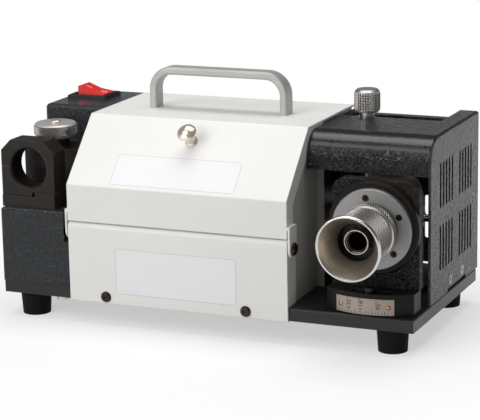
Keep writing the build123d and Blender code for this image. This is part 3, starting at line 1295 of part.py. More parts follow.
def make_thinning_rail():
    """The grooved rail on the chamber wall, with a foot and a cap that carry the feed screw."""
    y = (THIN_Y - RAIL_W / 2, THIN_Y + RAIL_W / 2)
    arm = (CHAMBER_FACE, CHAMBER_FACE + RAIL_ARM)
    rail = block((CHAMBER_FACE, RAIL_FACE), y, (RAIL_BOTTOM, RAIL_TOP))
    half = TONGUE_W / 2 + SLIDE_FIT
    room = (RAIL_BOTTOM + RAIL_FOOT_H, RAIL_TOP - RAIL_CAP_H)
    rail -= block((RAIL_FACE - TONGUE_H - SLIDE_FIT, RAIL_FACE + 1), (THIN_Y - half, THIN_Y + half), room)
    rail += block(arm, y, (RAIL_BOTTOM, room[0])) + block(arm, y, (room[1], RAIL_TOP))
    rail -= rod_z(THIN_X, THIN_Y, (RAIL_BOTTOM + RAIL_FOOT_H / 2, RAIL_TOP + 1), THIN_SCREW_R + RUN_FIT)
    bite = (CHAMBER_FACE - 1, RAIL_FACE - TONGUE_H - 1)
    return rail - [rod_x(bite, THIN_Y, z, RAIL_SCREW_R + RUN_FIT) for z in RAIL_SCREW_Z]


def make_rail_screws():
    """Screws from inside the white box through both walls into the rail."""
    screws = []
    for z in RAIL_SCREW_Z:
        head = rod_x((WALL_INSIDE[1] - RAIL_SCREW_HEAD_H, WALL_INSIDE[1]), THIN_Y, z, RAIL_SCREW_HEAD_R)
        shank = rod_x((WALL_INSIDE[1], RAIL_FACE - TONGUE_H - 1 - SCREW_FIT), THIN_Y, z, RAIL_SCREW_R)
        screws.append(head + shank)
    return Compound(screws)


def make_thinning_screw():
    """The feed screw with its neck and the knurled knob above the roof."""
    top = THIN_KNOB_H
    edge = THIN_KNOB_EDGE
    neck = RAIL_TOP + RUN_FIT - THIN_KNOB_Z
    tip = RAIL_BOTTOM + RAIL_FOOT_H / 2 + RUN_FIT - THIN_KNOB_Z
    screw = turned(
        (0, tip), (THIN_SCREW_R, tip), (THIN_SCREW_R, neck), (THIN_NECK_R, neck), (THIN_NECK_R, 0),
        (THIN_KNOB_R - edge / 2, 0), (THIN_KNOB_R, edge / 2), (THIN_KNOB_R, top - edge),
        (THIN_KNOB_R - edge, top), (0, top),
    )
    return Pos(THIN_X, THIN_Y, THIN_KNOB_Z) * screw


def make_thinning_rest():
    """The sliding rest with its tongue, its screw hole and the bore that takes the chuck."""
    z = (REST_Z, REST_Z + REST_H)
    y = (THIN_Y - RAIL_W / 2, THIN_Y + RAIL_W / 2)
    rest = block((RAIL_FACE + SLIDE_FIT, CHAMBER_FACE + RAIL_ARM), y, z)
    rest += block((RAIL_FACE - TONGUE_H, THIN_X), (THIN_Y - TONGUE_W / 2, THIN_Y + TONGUE_W / 2), z)
    rest += block((THIN_X, REST_X), (y[0] + 2, y[0] + 2 + REST_ARM_W), z)
    rest += rod_z(REST_X, REST_Y, z, REST_R)
    through = (z[0] - 1, z[1] + 1)
    rest -= rod_z(REST_X, REST_Y, through, GAUGE_BORE_R)
    return rest - rod_z(THIN_X, THIN_Y, through, THIN_SCREW_R + RUN_FIT)


# ---- swivelling head ----------------------------------------------------------------------------

def swept_slot(radius, half, left, right, z):
    """An arc slot about the swivel axis, between two angles left and right of straight ahead."""
    ring = rod_z(0, 0, z, radius + half) - rod_z(0, 0, (z[0] - 1, z[1] + 1), radius - half)
    far = 2 * radius
    wedge = [
        (0, 0), (-far * math.tan(math.radians(left)), -far), (far * math.tan(math.radians(right)), -far),
    ]
    return ring & top_profile(z, wedge)


def make_swivel_foot():
    """The slab that swivels on the base about a pin under the wheel, with the locking slot."""
    corner = math.sqrt(SLAB_R ** 2 - SLAB_HALF ** 2)
    shoulder = SLAB_SHOULDER_Y - SWIVEL_Y
    front = ThreePointArc((-SLAB_HALF, -corner), (0, -SLAB_R), (SLAB_HALF, -corner))
    right = Polyline((SLAB_HALF, -corner), (SLAB_HALF, shoulder), (SLAB_EYE_R, 0))
    eye = ThreePointArc((SLAB_EYE_R, 0), (0, SLAB_EYE_R), (-SLAB_EYE_R, 0))
    left = Polyline((-SLAB_EYE_R, 0), (-SLAB_HALF, shoulder), (-SLAB_HALF, -corner))
    slab = extrude(make_face([front, *right.edges(), eye, *left.edges()]), SLAB_H)
    slab -= rod_z(0, 0, (-1, SLAB_H + 1), SWIVEL_PIN_R + RUN_FIT)
    half = LOCK_R + SCREW_FIT
    end = math.degrees(half / LOCK_RADIUS) + 1
    slab -= swept_slot(LOCK_RADIUS, half, SWING_WIDE + end, SWING_SHARP + end, (-1, SLAB_H + 1))
    for angle in (SCALE_TURN - RIVET_DEG, SCALE_TURN + RIVET_DEG):
        hole = rod_y(0, (-SLAB_R - 1, -SLAB_R + RIVET_BITE), SCALE_UP + SCALE_H / 2, RIVET_SHANK_R + RUN_FIT)
        slab -= Rot(0, 0, angle) * hole
    return Pos(HEAD_X, SWIVEL_Y, SLAB_Z) * slab


def make_scale():
    """The curved scale plate on the front of the slab."""
    z = (SCALE_UP, SCALE_UP + SCALE_H)
    plate = swept_slot(SLAB_R + SCALE_T / 2, SCALE_T / 2, SCALE_HALF_DEG, SCALE_HALF_DEG, z)
    for angle in (-RIVET_DEG, RIVET_DEG):
        hole = rod_y(0, (-SLAB_R - 2, -SLAB_R + 1), SCALE_UP + SCALE_H / 2, RIVET_SHANK_R + RUN_FIT)
        plate -= Rot(0, 0, angle) * hole
    return Pos(HEAD_X, SWIVEL_Y, SLAB_Z) * Rot(0, 0, SCALE_TURN) * plate


def make_rivets():
    """Two round head drive rivets in the scale."""
    rivets = []
    face = -SLAB_R - SCALE_T
    for angle in (SCALE_TURN - RIVET_DEG, SCALE_TURN + RIVET_DEG):
        ball_r = (RIVET_R ** 2 + RIVET_HEAD_H ** 2) / (2 * RIVET_HEAD_H)
        dome = Pos(0, face + ball_r - RIVET_HEAD_H, 0) * Sphere(ball_r) - block((-9, 9), (face, 9), (-9, 9))
        rivet = dome + rod_y(0, (face, -SLAB_R + RIVET_BITE - SCREW_FIT), 0, RIVET_SHANK_R)
        rivets.append(Rot(0, 0, angle) * Pos(0, 0, SCALE_UP + SCALE_H / 2) * rivet)
    return Pos(HEAD_X, SWIVEL_Y, SLAB_Z) * Compound(rivets)


def make_swivel_pin():
    """The headed pin that the slab swivels on."""
    pin = rod_z(HEAD_X, SWIVEL_Y, (1, SLAB_TOP + RUN_FIT), SWIVEL_PIN_R)
    head = (SLAB_TOP + RUN_FIT, SLAB_TOP + SWIVEL_PIN_HEAD_H)
    return pin + rod_z(HEAD_X, SWIVEL_Y, head, SWIVEL_PIN_HEAD_R)


def make_angle_lock():
    """The screw that clamps the slab to the base at the set point angle."""
    seat = SLAB_TOP + RUN_FIT
    lock = rod_z(HEAD_X, LOCK_Y, (BASE_T - LOCK_BITE, seat), LOCK_R)
    head = rod_z(HEAD_X, LOCK_Y, (seat, seat + LOCK_HEAD_H), LOCK_HEAD_R)
    lock += chamfer(head.edges().group_by(Axis.Z)[-1], LOCK_HEAD_H / 5)
    return lock - Pos(HEAD_X, LOCK_Y, seat + LOCK_HEAD_H) * hex_socket(LOCK_HEX_R, LOCK_HEX_DEEP)


def on_chuck(shape):
    """Places a shape that was made about Z, with the operator up Z, on the chuck's tilted axis."""
    return CHUCK_FRAME * shape


def make_head_plate():
    """The upright plate on the slab, bored for the guide bush."""
    z = (SLAB_TOP, HEAD_TOP)
    plate = block((HEAD_X - HEAD_HALF, HEAD_X + HEAD_HALF), (HEAD_Y, HEAD_Y + HEAD_T), z)
    plate = fillet(plate.edges().filter_by(Axis.Y).group_by(Axis.Z)[-1], HEAD_CORNER_R)
    return plate - on_chuck(rod_z(0, 0, THROUGH, BUSH_R + RUN_FIT))


def make_head_ring():
    """The round boss between the plate and the silver disc, with a pocket for the bush's shoulder."""
    ring = rod_z(0, 0, (-DISC_T - RING_ROOM, -DISC_T), RING_R)
    ring = chamfer(ring.edges().group_by(Axis.Z)[-1], RING_EDGE)
    ring -= rod_z(0, 0, THROUGH, BUSH_R + RUN_FIT)
    ring -= rod_z(0, 0, (-DISC_T - BUSH_SHOULDER_T - 2 * RUN_FIT, 0), SHOULDER_R + SEAT_GAP)
    for place in disc_screw_places():
        ring -= place * rod_z(0, 0, (-DISC_T - DISC_SCREW_BITE, 0), DISC_SCREW_R + RUN_FIT)
    return on_chuck(ring) - block((0, 2 * BASE_L), (HEAD_Y, BASE_D), (0, BOX_TOP))


def disc_screw_places():
    """Places round the chuck's axis for the screws of the silver disc."""
    turns = [DISC_SCREW_TURN + i * 360 / DISC_SCREW_COUNT for i in range(DISC_SCREW_COUNT)]
    return [Rot(0, 0, turn) * Pos(DISC_SCREW_PCD_R, 0, 0) for turn in turns]


def make_disc():
    """The silver disc that keeps the guide bush in."""
    disc = rod_z(0, 0, (-DISC_T, 0), DISC_R)
    disc = chamfer(disc.edges().group_by(Axis.Z)[-1], DISC_EDGE)
    disc -= rod_z(0, 0, THROUGH, BUSH_R + RUN_FIT)
    for place in disc_screw_places():
        disc -= place * rod_z(0, 0, THROUGH, DISC_SCREW_R + SCREW_FIT)
    return on_chuck(disc)


def make_disc_screws():
    """Grub-like socket screws sunk in the disc."""
    screw = rod_z(0, 0, (-DISC_T - DISC_SCREW_BITE + SCREW_FIT, -DISC_SCREW_DEEP), DISC_SCREW_R)
    screw -= Pos(0, 0, -DISC_SCREW_DEEP) * hex_socket(DISC_SCREW_HEX_R, DISC_SCREW_HEX_DEEP)
    return on_chuck(Compound([place * screw for place in disc_screw_places()]))


def make_guide_bush():
    """The hardened bush that turns in the head and that the chuck slides in."""
    bush = rod_z(0, 0, (BUSH_BACK, 0), BUSH_R)
    shoulder = (-DISC_T - BUSH_SHOULDER_T - RUN_FIT, -DISC_T - RUN_FIT)
    bush += rod_z(0, 0, shoulder, SHOULDER_R)
    return on_chuck(bush - rod_z(0, 0, THROUGH, CHUCK_R + RUN_FIT))


def make_chuck_body():
    """The chuck: a ground guide, a knurled grip and a spigot for the nut."""
    chuck = rod_z(0, 0, (CHUCK_BACK, GRIP_FROM), CHUCK_R)
    grip = rod_z(0, 0, (GRIP_FROM, GRIP_TO), GRIP_R)
    chuck += chamfer(grip.edges().filter_by(GeomType.CIRCLE), GRIP_EDGE)
    chuck += rod_z(0, 0, (GRIP_TO, SPIGOT_TO), SPIGOT_R)
    return on_chuck(chuck - rod_z(0, 0, THROUGH, CHUCK_BORE_R))


def make_collet(body_r, bore_r, bottom, top, edge):
    """A collet about Z, slit from its front end."""
    collet = rod_z(0, 0, (bottom, top), body_r)
    collet = chamfer(collet.edges().group_by(Axis.Z)[-1], edge)
    collet -= rod_z(0, 0, (bottom - 1, top + 1), bore_r)
    half = COLLET_SLIT / 2
    slit = block((bore_r / 2, body_r + 1), (-half, half), (bottom + SLIT_ROOT, top + 1))
    for index in range(COLLET_SLITS):
        collet -= Rot(0, 0, index * 360 / COLLET_SLITS) * slit
    return collet


def make_chuck_collet():
    """The collet in use, thinned to a lip at its mouth."""
    collet = make_collet(COLLET_R, COLLET_BORE_R, COLLET_BACK, COLLET_FRONT, COLLET_EDGE)
    collet -= rod_z(0, 0, (COLLET_FRONT - COLLET_LIP_DEEP, COLLET_FRONT + 1), COLLET_LIP_R)
    return on_chuck(collet)


def make_collet_nut():
    """The draw nut with its flared mouth."""
    nut = turned(
        (SPIGOT_R + RUN_FIT, NUT_FROM), (NUT_OUTER_R, NUT_FROM), (NUT_OUTER_R, NUT_FLARE_FROM),
        (MOUTH_R, MOUTH_AT - MOUTH_RIM_T), (MOUTH_R, MOUTH_AT), (MOUTH_R - MOUTH_RIM, MOUTH_AT),
        (NUT_FLOOR_R, MOUTH_END), (NUT_FLOOR_R, NUT_FLOOR), (COLLET_R + SCREW_FIT, NUT_FLOOR),
        (COLLET_R + SCREW_FIT, SPIGOT_TO + SEAT_GAP), (SPIGOT_R + RUN_FIT, SPIGOT_TO + SEAT_GAP),
    )
    return on_chuck(nut)


# ---- collets kept under the hood ----------------------------------------------------------------

def spare_places():
    """Upright places of the spare collets, two rows between the rack's ends."""
    pitch = RACK_L / RACK_COLUMNS
    middle = RACK_Y + RACK_D / 2
    rows = (middle - RACK_ROW_PITCH / 2, middle + RACK_ROW_PITCH / 2)
    return [(RACK_X + (i + 0.5) * pitch, y) for y in rows for i in range(RACK_COLUMNS)]


def make_rack():
    """The folded rack: a drilled deck above a shelf, on two end legs."""
    x = (RACK_X, RACK_X + RACK_L)
    y = (RACK_Y, RACK_Y + RACK_D)
    deck = block(x, y, (RACK_DECK - RACK_SHEET, RACK_DECK))
    for place in spare_places():
        deck -= rod_z(*place, (RACK_DECK - 9, RACK_DECK + 1), SPARE_R + SEAT_GAP)
    rack = deck + block(x, y, (RACK_SHELF - RACK_SHEET, RACK_SHELF))
    rack += block((x[0], x[0] + RACK_SHEET), y, (BASE_T, RACK_DECK))
    return rack + block((x[1] - RACK_SHEET, x[1]), y, (BASE_T, RACK_DECK))


def make_spares():
    """One collet for each bore size, standing on the shelf."""
    top = RACK_SHELF + SPARE_L
    pairs = zip(spare_places(), SPARE_BORES)
    spares = [
        Pos(*place, 0) * make_collet(SPARE_R, bore, RACK_SHELF, top, SPARE_EDGE) for place, bore in pairs
    ]
    return Compound(spares)


# ---- the whole machine --------------------------------------------------------------------------

NODES = {
    "base_plate": make_base,
    "rubber_feet": make_feet,
    "underside_screws": make_underside_screws,
    "front_panel": make_front_panel,
    "panel_screws": make_panel_screws,
    "inner_walls": make_inner_walls,
    "top_plate": make_top_plate,
    "carry_handle": make_handle,
    "handle_screws": make_handle_screws,
    "hood": make_hood,
    "hood_knob": make_hood_knob,
    "hood_pivots": make_hood_pivots,
    "pedestal": make_pedestal,
    "left_housing": make_housing,
    "switch_bezel": make_bezel,
    "switch_rocker": make_rocker,
    "cable_gland": make_gland,
    "gauge_way": make_gauge_way,
    "gauge_socket": make_gauge_socket,
    "stop_carrier": make_gauge_carrier,
    "gauge_stop": make_gauge_stop,
    "gauge_spindle": make_gauge_spindle,
    "gauge_knob": make_gauge_knob,
    "motor_shell": make_motor_shell,
    "motor_bells": make_motor_bells,
    "motor_bearings": make_motor_bearings,
    "stator_core": make_stator,
    "rotor_core": make_rotor,
    "motor_shaft": make_shaft,
    "cooling_fan": make_fan,
    "motor_cradle": make_cradle,
    "run_capacitor": make_capacitor,
    "wiring": make_wiring,
    "wheel_core": make_wheel_core,
    "abrasive_layer": make_abrasive,
    "wheel_clamp": make_wheel_clamp,
    "chamber_wall": make_chamber_wall,
    "right_cover": make_right_cover,
    "cover_screws": make_cover_screws,
    "cover_bracket": make_cover_bracket,
    "rear_panel": make_rear_panel,
    "thinning_rail": make_thinning_rail,
    "rail_screws": make_rail_screws,
    "thinning_screw": make_thinning_screw,
    "thinning_rest": make_thinning_rest,
    "swivel_foot": make_swivel_foot,
    "swivel_pin": make_swivel_pin,
    "angle_scale": make_scale,
    "scale_rivets": make_rivets,
    "angle_lock": make_angle_lock,
    "head_plate": make_head_plate,
    "head_ring": make_head_ring,
    "flange_disc": make_disc,
    "disc_screws": make_disc_screws,
    "guide_bush": make_guide_bush,
    "chuck_body": make_chuck_body,
    "chuck_collet": make_chuck_collet,
    "collet_nut": make_collet_nut,
    "collet_rack": make_rack,
    "spare_collets": make_spares,
}

os.makedirs("parts", exist_ok=True)
shapes = {name: make() for name, make in NODES.items()}
whole = Compound(list(shapes.values())).bounding_box()
to_origin = Pos(-whole.center().X, -whole.center().Y, -whole.min.Z)
for name, shape in shapes.items():
    export_step(to_origin * shape, f"parts/{name}.step")
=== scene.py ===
import math

import bpy
from mathutils import Matrix, Vector


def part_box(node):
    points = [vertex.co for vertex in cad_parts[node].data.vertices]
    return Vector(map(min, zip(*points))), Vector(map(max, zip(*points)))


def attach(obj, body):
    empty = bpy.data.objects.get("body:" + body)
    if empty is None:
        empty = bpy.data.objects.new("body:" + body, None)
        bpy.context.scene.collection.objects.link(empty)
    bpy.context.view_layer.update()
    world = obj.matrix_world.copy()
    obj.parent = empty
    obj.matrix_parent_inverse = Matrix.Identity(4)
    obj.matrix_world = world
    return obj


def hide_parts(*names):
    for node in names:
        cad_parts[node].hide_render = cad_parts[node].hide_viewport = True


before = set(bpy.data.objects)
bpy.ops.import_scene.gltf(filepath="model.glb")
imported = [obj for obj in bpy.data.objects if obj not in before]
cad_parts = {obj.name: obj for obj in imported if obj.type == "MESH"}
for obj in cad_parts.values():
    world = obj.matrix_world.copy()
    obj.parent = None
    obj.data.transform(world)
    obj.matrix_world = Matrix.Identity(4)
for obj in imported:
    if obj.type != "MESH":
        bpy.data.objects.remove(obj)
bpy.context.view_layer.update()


# ---- Base plate --------------------------------------------------------------------------------
# A sawn steel plate that everything is screwed to.  It is painted dark grey-brown, half gloss, and
# its edges are coloured a little lighter, a painted highlight.
MM = 0.001
plate_corner = Vector(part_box("base_plate")[0])


def at(x, y, z):
    """A point given in millimetres from the plate's lower left front corner."""
    return plate_corner + Vector((x, y, z)) * MM


def add_node(tree, kind, inputs=(), **settings):
    """A shader node with its settings made and its inputs joined or filled in."""
    made = tree.nodes.new("ShaderNode" + kind)
    for name, value in settings.items():
        setattr(made, name, value)
    for name, value in dict(inputs).items():
        if isinstance(value, bpy.types.NodeSocket):
            tree.links.new(value, made.inputs[name])
        else:
            made.inputs[name].default_value = value
    return made


def mixed(tree, share, first, second):
    """One colour going over into another."""
    mix = add_node(tree, "Mix", data_type="RGBA")
    for index, value in ((0, share), (6, first), (7, second)):
        if isinstance(value, bpy.types.NodeSocket):
            tree.links.new(value, mix.inputs[index])
        else:
            mix.inputs[index].default_value = value
    return mix.outputs[2]


def ramp(tree, value, between, becomes, **settings):
    """A number that goes from one end of becomes to the other while value goes between two limits."""
    limits = {0: value, 1: between[0], 2: between[1], 3: becomes[0], 4: becomes[1]}
    return add_node(tree, "MapRange", limits, **settings).outputs[0]


def combined(tree, operation, first, second):
    """One number made from two."""
    return add_node(tree, "Math", {0: first, 1: second}, operation=operation).outputs[0]


def start_group(name, inputs, outputs):
    """An empty node group with its sockets, and its two end nodes."""
    group = bpy.data.node_groups.new(name, "ShaderNodeTree")
    for label, kind, value in inputs:
        socket = group.interface.new_socket(label, in_out="INPUT", socket_type="NodeSocket" + kind)
        socket.default_value = value
    for label, kind in outputs:
        group.interface.new_socket(label, in_out="OUTPUT", socket_type="NodeSocket" + kind)
    return group, group.nodes.new("NodeGroupInput").outputs, group.nodes.new("NodeGroupOutput").inputs


# film: the skin of a sprayed or plated surface, as a height, with broad patches as a mask
PATCH_EDGE = (0.35, 0.68)       # cloud values over which a patch begins
film, given, result = start_group(
    "film",
    [("Vector", "Vector", (0, 0, 0)), ("Grains", "Float", 500.0), ("Patches", "Float", 20.0)],
    [("Height", "Float"), ("Patch", "Float")],
)
skin = add_node(film, "TexNoise", {"Vector": given["Vector"], "Scale": given["Grains"], "Detail": 2.5})
cloud = add_node(film, "TexNoise", {"Vector": given["Vector"], "Scale": given["Patches"], "Detail": 3.0})
film.links.new(skin.outputs["Fac"], result["Height"])
film.links.new(ramp(film, cloud.outputs["Fac"], PATCH_EDGE, (0.0, 1.0)), result["Patch"])

# rounded edges: rounds sharp corners softly, and says where they are, so that a painted highlight, broken up
# by noise, can be laid along them
CORNER_TURN = (0.985, 0.82)     # cosines of the turn at which a corner begins to take the painted edge highlight, and takes it fully
EDGE_HIGHLIGHT_NOISE = (0.3, 0.6)       # noise values between which the painted edge highlight fades in
EDGE_HIGHLIGHT_LEAST = 0.25
edge_round_and_highlight, given, result = start_group(
    "edge round and highlight",
    [("Vector", "Vector", (0, 0, 0)), ("Reach", "Float", 0.0005)],
    [("Edge", "Float"), ("Normal", "Vector")],
)
rounded = add_node(edge_round_and_highlight, "Bevel", {"Radius": given["Reach"]}, samples=4)
surface = add_node(edge_round_and_highlight, "NewGeometry")
facing = add_node(
    edge_round_and_highlight, "VectorMath", {0: rounded.outputs[0], 1: surface.outputs["Normal"]}, operation="DOT_PRODUCT",
)
sharp = ramp(edge_round_and_highlight, facing.outputs["Value"], CORNER_TURN, (0.0, 1.0))
highlight_noise = add_node(edge_round_and_highlight, "TexNoise", {"Vector": given["Vector"], "Scale": 160.0, "Detail": 3.0})
broken_highlight = ramp(edge_round_and_highlight, highlight_noise.outputs["Fac"], EDGE_HIGHLIGHT_NOISE, (EDGE_HIGHLIGHT_LEAST, 1.0))
edge_round_and_highlight.links.new(combined(edge_round_and_highlight, "MULTIPLY", sharp, broken_highlight), result["Edge"])
edge_round_and_highlight.links.new(rounded.outputs[0], result["Normal"])


def grey(value, warmth=0.0):
    """A grey, warmer towards yellow or, below zero, cooler towards blue."""
    return (value * (1 + warmth), value, value * (1 - warmth), 1.0)


def finish(name, colour, roughness, *, patch, grains, depth, metallic=0.0, patches=20.0, edge_highlight=None,
           reach=0.0005, spread=0.06, stretch=(1, 1, 1), coat=0.0, shine=0.5):
    """A surface from its paint or metal colour, skin, patches and a painted highlight along its edges.

    grains is how many grains lie along a metre and depth how deep they are, in metres; patches is how many
    patches lie along a metre and spread how much rougher they are.  The edge colour is a painted highlight
    laid along the edges, reach is how wide the edges are rounded and lit, in metres, and stretch lays the
    grain along a piece.
    """
    material = bpy.data.materials.new(name)
    material.use_nodes = True
    tree = material.node_tree
    shader = tree.nodes["Principled BSDF"]
    shader.inputs["Metallic"].default_value = metallic
    shader.inputs["Coat Weight"].default_value = coat
    shader.inputs["Coat Roughness"].default_value = 0.12
    shader.inputs["Specular IOR Level"].default_value = shine
    place = add_node(tree, "TexCoord").outputs["Object"]
    if stretch != (1, 1, 1):
        place = add_node(tree, "Mapping", {"Vector": place, "Scale": stretch}).outputs[0]
    skin = add_node(tree, "Group", node_tree=film)
    tree.links.new(place, skin.inputs["Vector"])
    skin.inputs["Grains"].default_value = grains
    skin.inputs["Patches"].default_value = patches
    colour_now = mixed(tree, skin.outputs["Patch"], colour, patch)
    bump = add_node(tree, "Bump", {"Height": skin.outputs["Height"], "Distance": depth})
    if reach:
        edges = add_node(tree, "Group", node_tree=edge_round_and_highlight)
        tree.links.new(place, edges.inputs["Vector"])
        edges.inputs["Reach"].default_value = reach
        tree.links.new(edges.outputs["Normal"], bump.inputs["Normal"])
        # the edge colour is a painted highlight laid along the rounded edges, broken up by noise
        if edge_highlight is not None:
            colour_now = mixed(tree, edges.outputs["Edge"], colour_now, edge_highlight)
    tree.links.new(colour_now, shader.inputs["Base Color"])
    tree.links.new(bump.outputs[0], shader.inputs["Normal"])
    gloss = ramp(tree, skin.outputs["Patch"], (0.0, 1.0), (roughness, roughness + spread))
    tree.links.new(gloss, shader.inputs["Roughness"])
    return material


def dress(material, *names):
    """Gives solids of the machine, or new pieces, their finish."""
    for name in names:
        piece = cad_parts[name] if isinstance(name, str) else name
        if not piece.material_slots:
            piece.data.materials.append(material)
        for place in piece.material_slots:
            place.material = material


plate_paint = finish(
    "plate paint", grey(0.0075, 0.04), 0.30, patch=grey(0.011, 0.06), edge_highlight=grey(0.09, 0.05), grains=900,
    depth=0.00003, shine=0.4,
)
dress(plate_paint, "base_plate", "cover_bracket")


# ---- Feet and their screws ---------------------------------------------------------------------
# Four turned rubber feet, matt black, each held by a pan head screw.  The same zinc screws hold the
# plates to the base from below.
foot_rubber = finish(
    "foot rubber", grey(0.004), 0.70, patch=grey(0.009, 0.04), grains=1400, depth=0.00003, reach=0.0008,
    shine=0.12,
)
zinc = finish(
    "zinc", grey(0.62, 0.04), 0.30, metallic=1.0, patch=grey(0.50, 0.06), grains=1800, depth=0.000006,
    reach=0.0003, spread=0.12,
)
dress(foot_rubber, "rubber_feet")
dress(zinc, "underside_screws", "handle_screws", "wheel_clamp")


# ---- Motor and wiring --------------------------------------------------------------------------
# Hidden inside: a foot mounted induction motor with its fan, capacitor and leads.  The shell is grey
# enamel, the bells and cradle are cast, and the laminations are bare iron.
motor_enamel = finish(
    "motor enamel", grey(0.17, -0.03), 0.38, patch=grey(0.13, -0.03), grains=700, depth=0.00004,
)
cast_alloy = finish(
    "cast alloy", grey(0.52), 0.48, metallic=1.0, patch=grey(0.42), grains=1100, depth=0.00006, spread=0.15,
)
bare_iron = finish(
    "bare iron", grey(0.26, 0.03), 0.50, metallic=1.0, patch=grey(0.18, 0.08), grains=500, depth=0.00003,
    stretch=(14, 1, 1),
)
ground_steel = finish(
    "ground steel", grey(0.58, 0.02), 0.24, metallic=1.0, patch=grey(0.50, 0.02), grains=900, depth=0.000006,
    reach=0.0003, spread=0.10,
)
moulded_black = finish(
    "moulded black", grey(0.010), 0.42, patch=grey(0.014), grains=2200, depth=0.000012, edge_highlight=grey(0.05),
    reach=0.0003, shine=0.35,
)
pale_shell = finish(
    "pale shell", grey(0.68, 0.03), 0.36, patch=grey(0.62, 0.05), grains=600, depth=0.00001,
)
dress(motor_enamel, "motor_shell")
dress(cast_alloy, "motor_bells", "motor_cradle", "wheel_core")
dress(bare_iron, "stator_core", "rotor_core")
dress(ground_steel, "motor_shaft", "motor_bearings", "swivel_pin", "spare_collets", "guide_bush")
dress(moulded_black, "cooling_fan", "wiring", "cable_gland", "switch_bezel")
dress(pale_shell, "run_capacitor")


# ---- Grinding wheel ----------------------------------------------------------------------------
# A cup shaped metal body with a coned layer of resin bonded grit, brown-grey, with single grains that
# catch the light.
grit = finish(
    "grit", (0.20, 0.165, 0.12, 1), 0.62, patch=(0.30, 0.26, 0.20, 1), patches=1500, grains=3200,
    depth=0.00022, reach=0.0, spread=0.25,
)
dress(grit, "abrasive_layer")


# ---- Middle box --------------------------------------------------------------------------------
# Hood, front panel, top and inner walls, all bent from steel sheet.  The outside is a warm white
# powder coat with a faint orange peel, and the walls inside are light grey.  The wall that faces the
# grinding chamber keeps its pale grey only on a strip along its front edge; behind that it is painted
# near black, a painted shade for the inside of the chamber.
white_coat = finish(
    "white coat", (0.83, 0.825, 0.80, 1), 0.42, patch=(0.80, 0.79, 0.765, 1), patches=9, grains=620,
    depth=0.000022, reach=0.0009,
)
cream_coat = finish(
    "cream coat", (0.56, 0.55, 0.52, 1), 0.44, patch=(0.50, 0.49, 0.46, 1), grains=620, depth=0.00003,
    reach=0.0006,
)
dress(white_coat, "hood", "front_panel", "top_plate")
dress(cream_coat, "inner_walls", "collet_rack")

CHAMBER_STRIP_Y = 62.0          # in front of it the chamber's left wall is pale, behind it black
STRIP_COLOUR = (0.42, 0.40, 0.37, 1)
# painted shade: the chamber's wall is near black behind the strip, where the chamber lies in shadow
chamber_shade_coat = finish(
    "chamber painted shade", grey(0.006), 0.45, patch=grey(0.009), grains=620, depth=0.00003, shine=0.3,
)
tree = chamber_shade_coat.node_tree
place = add_node(tree, "SeparateXYZ", {0: add_node(tree, "TexCoord").outputs["Object"]})
ahead = combined(tree, "LESS_THAN", place.outputs["Y"], at(0, CHAMBER_STRIP_Y, 0).y)
shader = tree.nodes["Principled BSDF"]
painted_shade = shader.inputs["Base Color"].links[0].from_socket
tree.links.new(mixed(tree, ahead, painted_shade, STRIP_COLOUR), shader.inputs["Base Color"])
dress(chamber_shade_coat, "chamber_wall")


# ---- Name plates -------------------------------------------------------------------------------
# Two blank stickers of thin glossy vinyl, one on the hood's slope and one on the panel under it.  Each
# is white with a fine grey line around its edge.
STICKER_T = 0.14
STICKER_LINE = 0.4
STICKER_CORNER = 1.6
UPPER_STICKER, UPPER_X, UPPER_ALONG = (97.0, 26.0), 137.5, 15.5     # size, middle, and way up the slope
LOWER_STICKER, LOWER_X, LOWER_Z = (94.5, 33.7), 140.2, 24.2
WHITE_FIELD = 1e-4              # square metres: of the faces to the front, only the white field is larger
FACING = 0.9                    # cosine above which a face counts as facing a direction
HOOD_FRONT_Y, BEND_Z = -1.5, 85.9
HOOD_TOP_Y, HOOD_TOP_Z = 41.2, 130.2
SLOPE = math.atan2(HOOD_TOP_Z - BEND_Z, HOOD_TOP_Y - HOOD_FRONT_Y)
QUARTER = math.pi / 2


def only(piece):
    """Leaves one piece selected and active."""
    bpy.ops.object.select_all(action="DESELECT")
    piece.select_set(True)
    bpy.context.view_layer.objects.active = piece


def started(name):
    """Names the piece that an operator has just added, and goes into its edit mode."""
    piece = bpy.context.object
    only(piece)
    piece.name = piece.data.name = name
    bpy.ops.object.mode_set(mode="EDIT")
    bpy.ops.mesh.select_mode(type="VERT")
    return piece


def pick(piece, kind, wanted):
    """In edit mode, selects only the vertices, edges or faces for which wanted is true."""
    bpy.ops.mesh.select_mode(type=kind)
    bpy.ops.mesh.select_all(action="DESELECT")
    bpy.ops.object.mode_set(mode="OBJECT")
    mesh = piece.data
    for part in {"VERT": mesh.vertices, "EDGE": mesh.edges, "FACE": mesh.polygons}[kind]:
        part.select = bool(wanted(part))
    bpy.ops.object.mode_set(mode="EDIT")


def settled(piece, place):
    """Leaves edit mode and puts the piece's place into its mesh."""
    bpy.ops.object.mode_set(mode="OBJECT")
    piece.matrix_world = place @ piece.matrix_world
    bpy.ops.object.transform_apply(location=True, rotation=True, scale=True)
    return piece


def sticker(name, size, place):
    """A sticker with round corners, lying in the XY plane and then moved to its place."""
    width, height = size
    bpy.ops.mesh.primitive_cube_add(size=1, scale=(width * MM, height * MM, STICKER_T * MM))
    bpy.ops.object.transform_apply(location=True, rotation=True, scale=True)
    piece = started(name)
    points = piece.data.vertices
    pick(piece, "EDGE", lambda e: points[e.vertices[0]].co.z * points[e.vertices[1]].co.z < 0)
    bpy.ops.mesh.bevel(offset=STICKER_CORNER * MM, segments=5)
    pick(piece, "FACE", lambda f: f.normal.z > FACING)
    bpy.ops.mesh.inset(thickness=STICKER_LINE * MM)
    settled(piece, place)
    piece.data.materials.append(sticker_line)
    piece.data.materials.append(sticker_white)
    front = place.to_3x3() @ Vector((0, 0, 1))
    for face in piece.data.polygons:
        face.material_index = int(face.normal.dot(front) > FACING and face.area > WHITE_FIELD)
    return piece


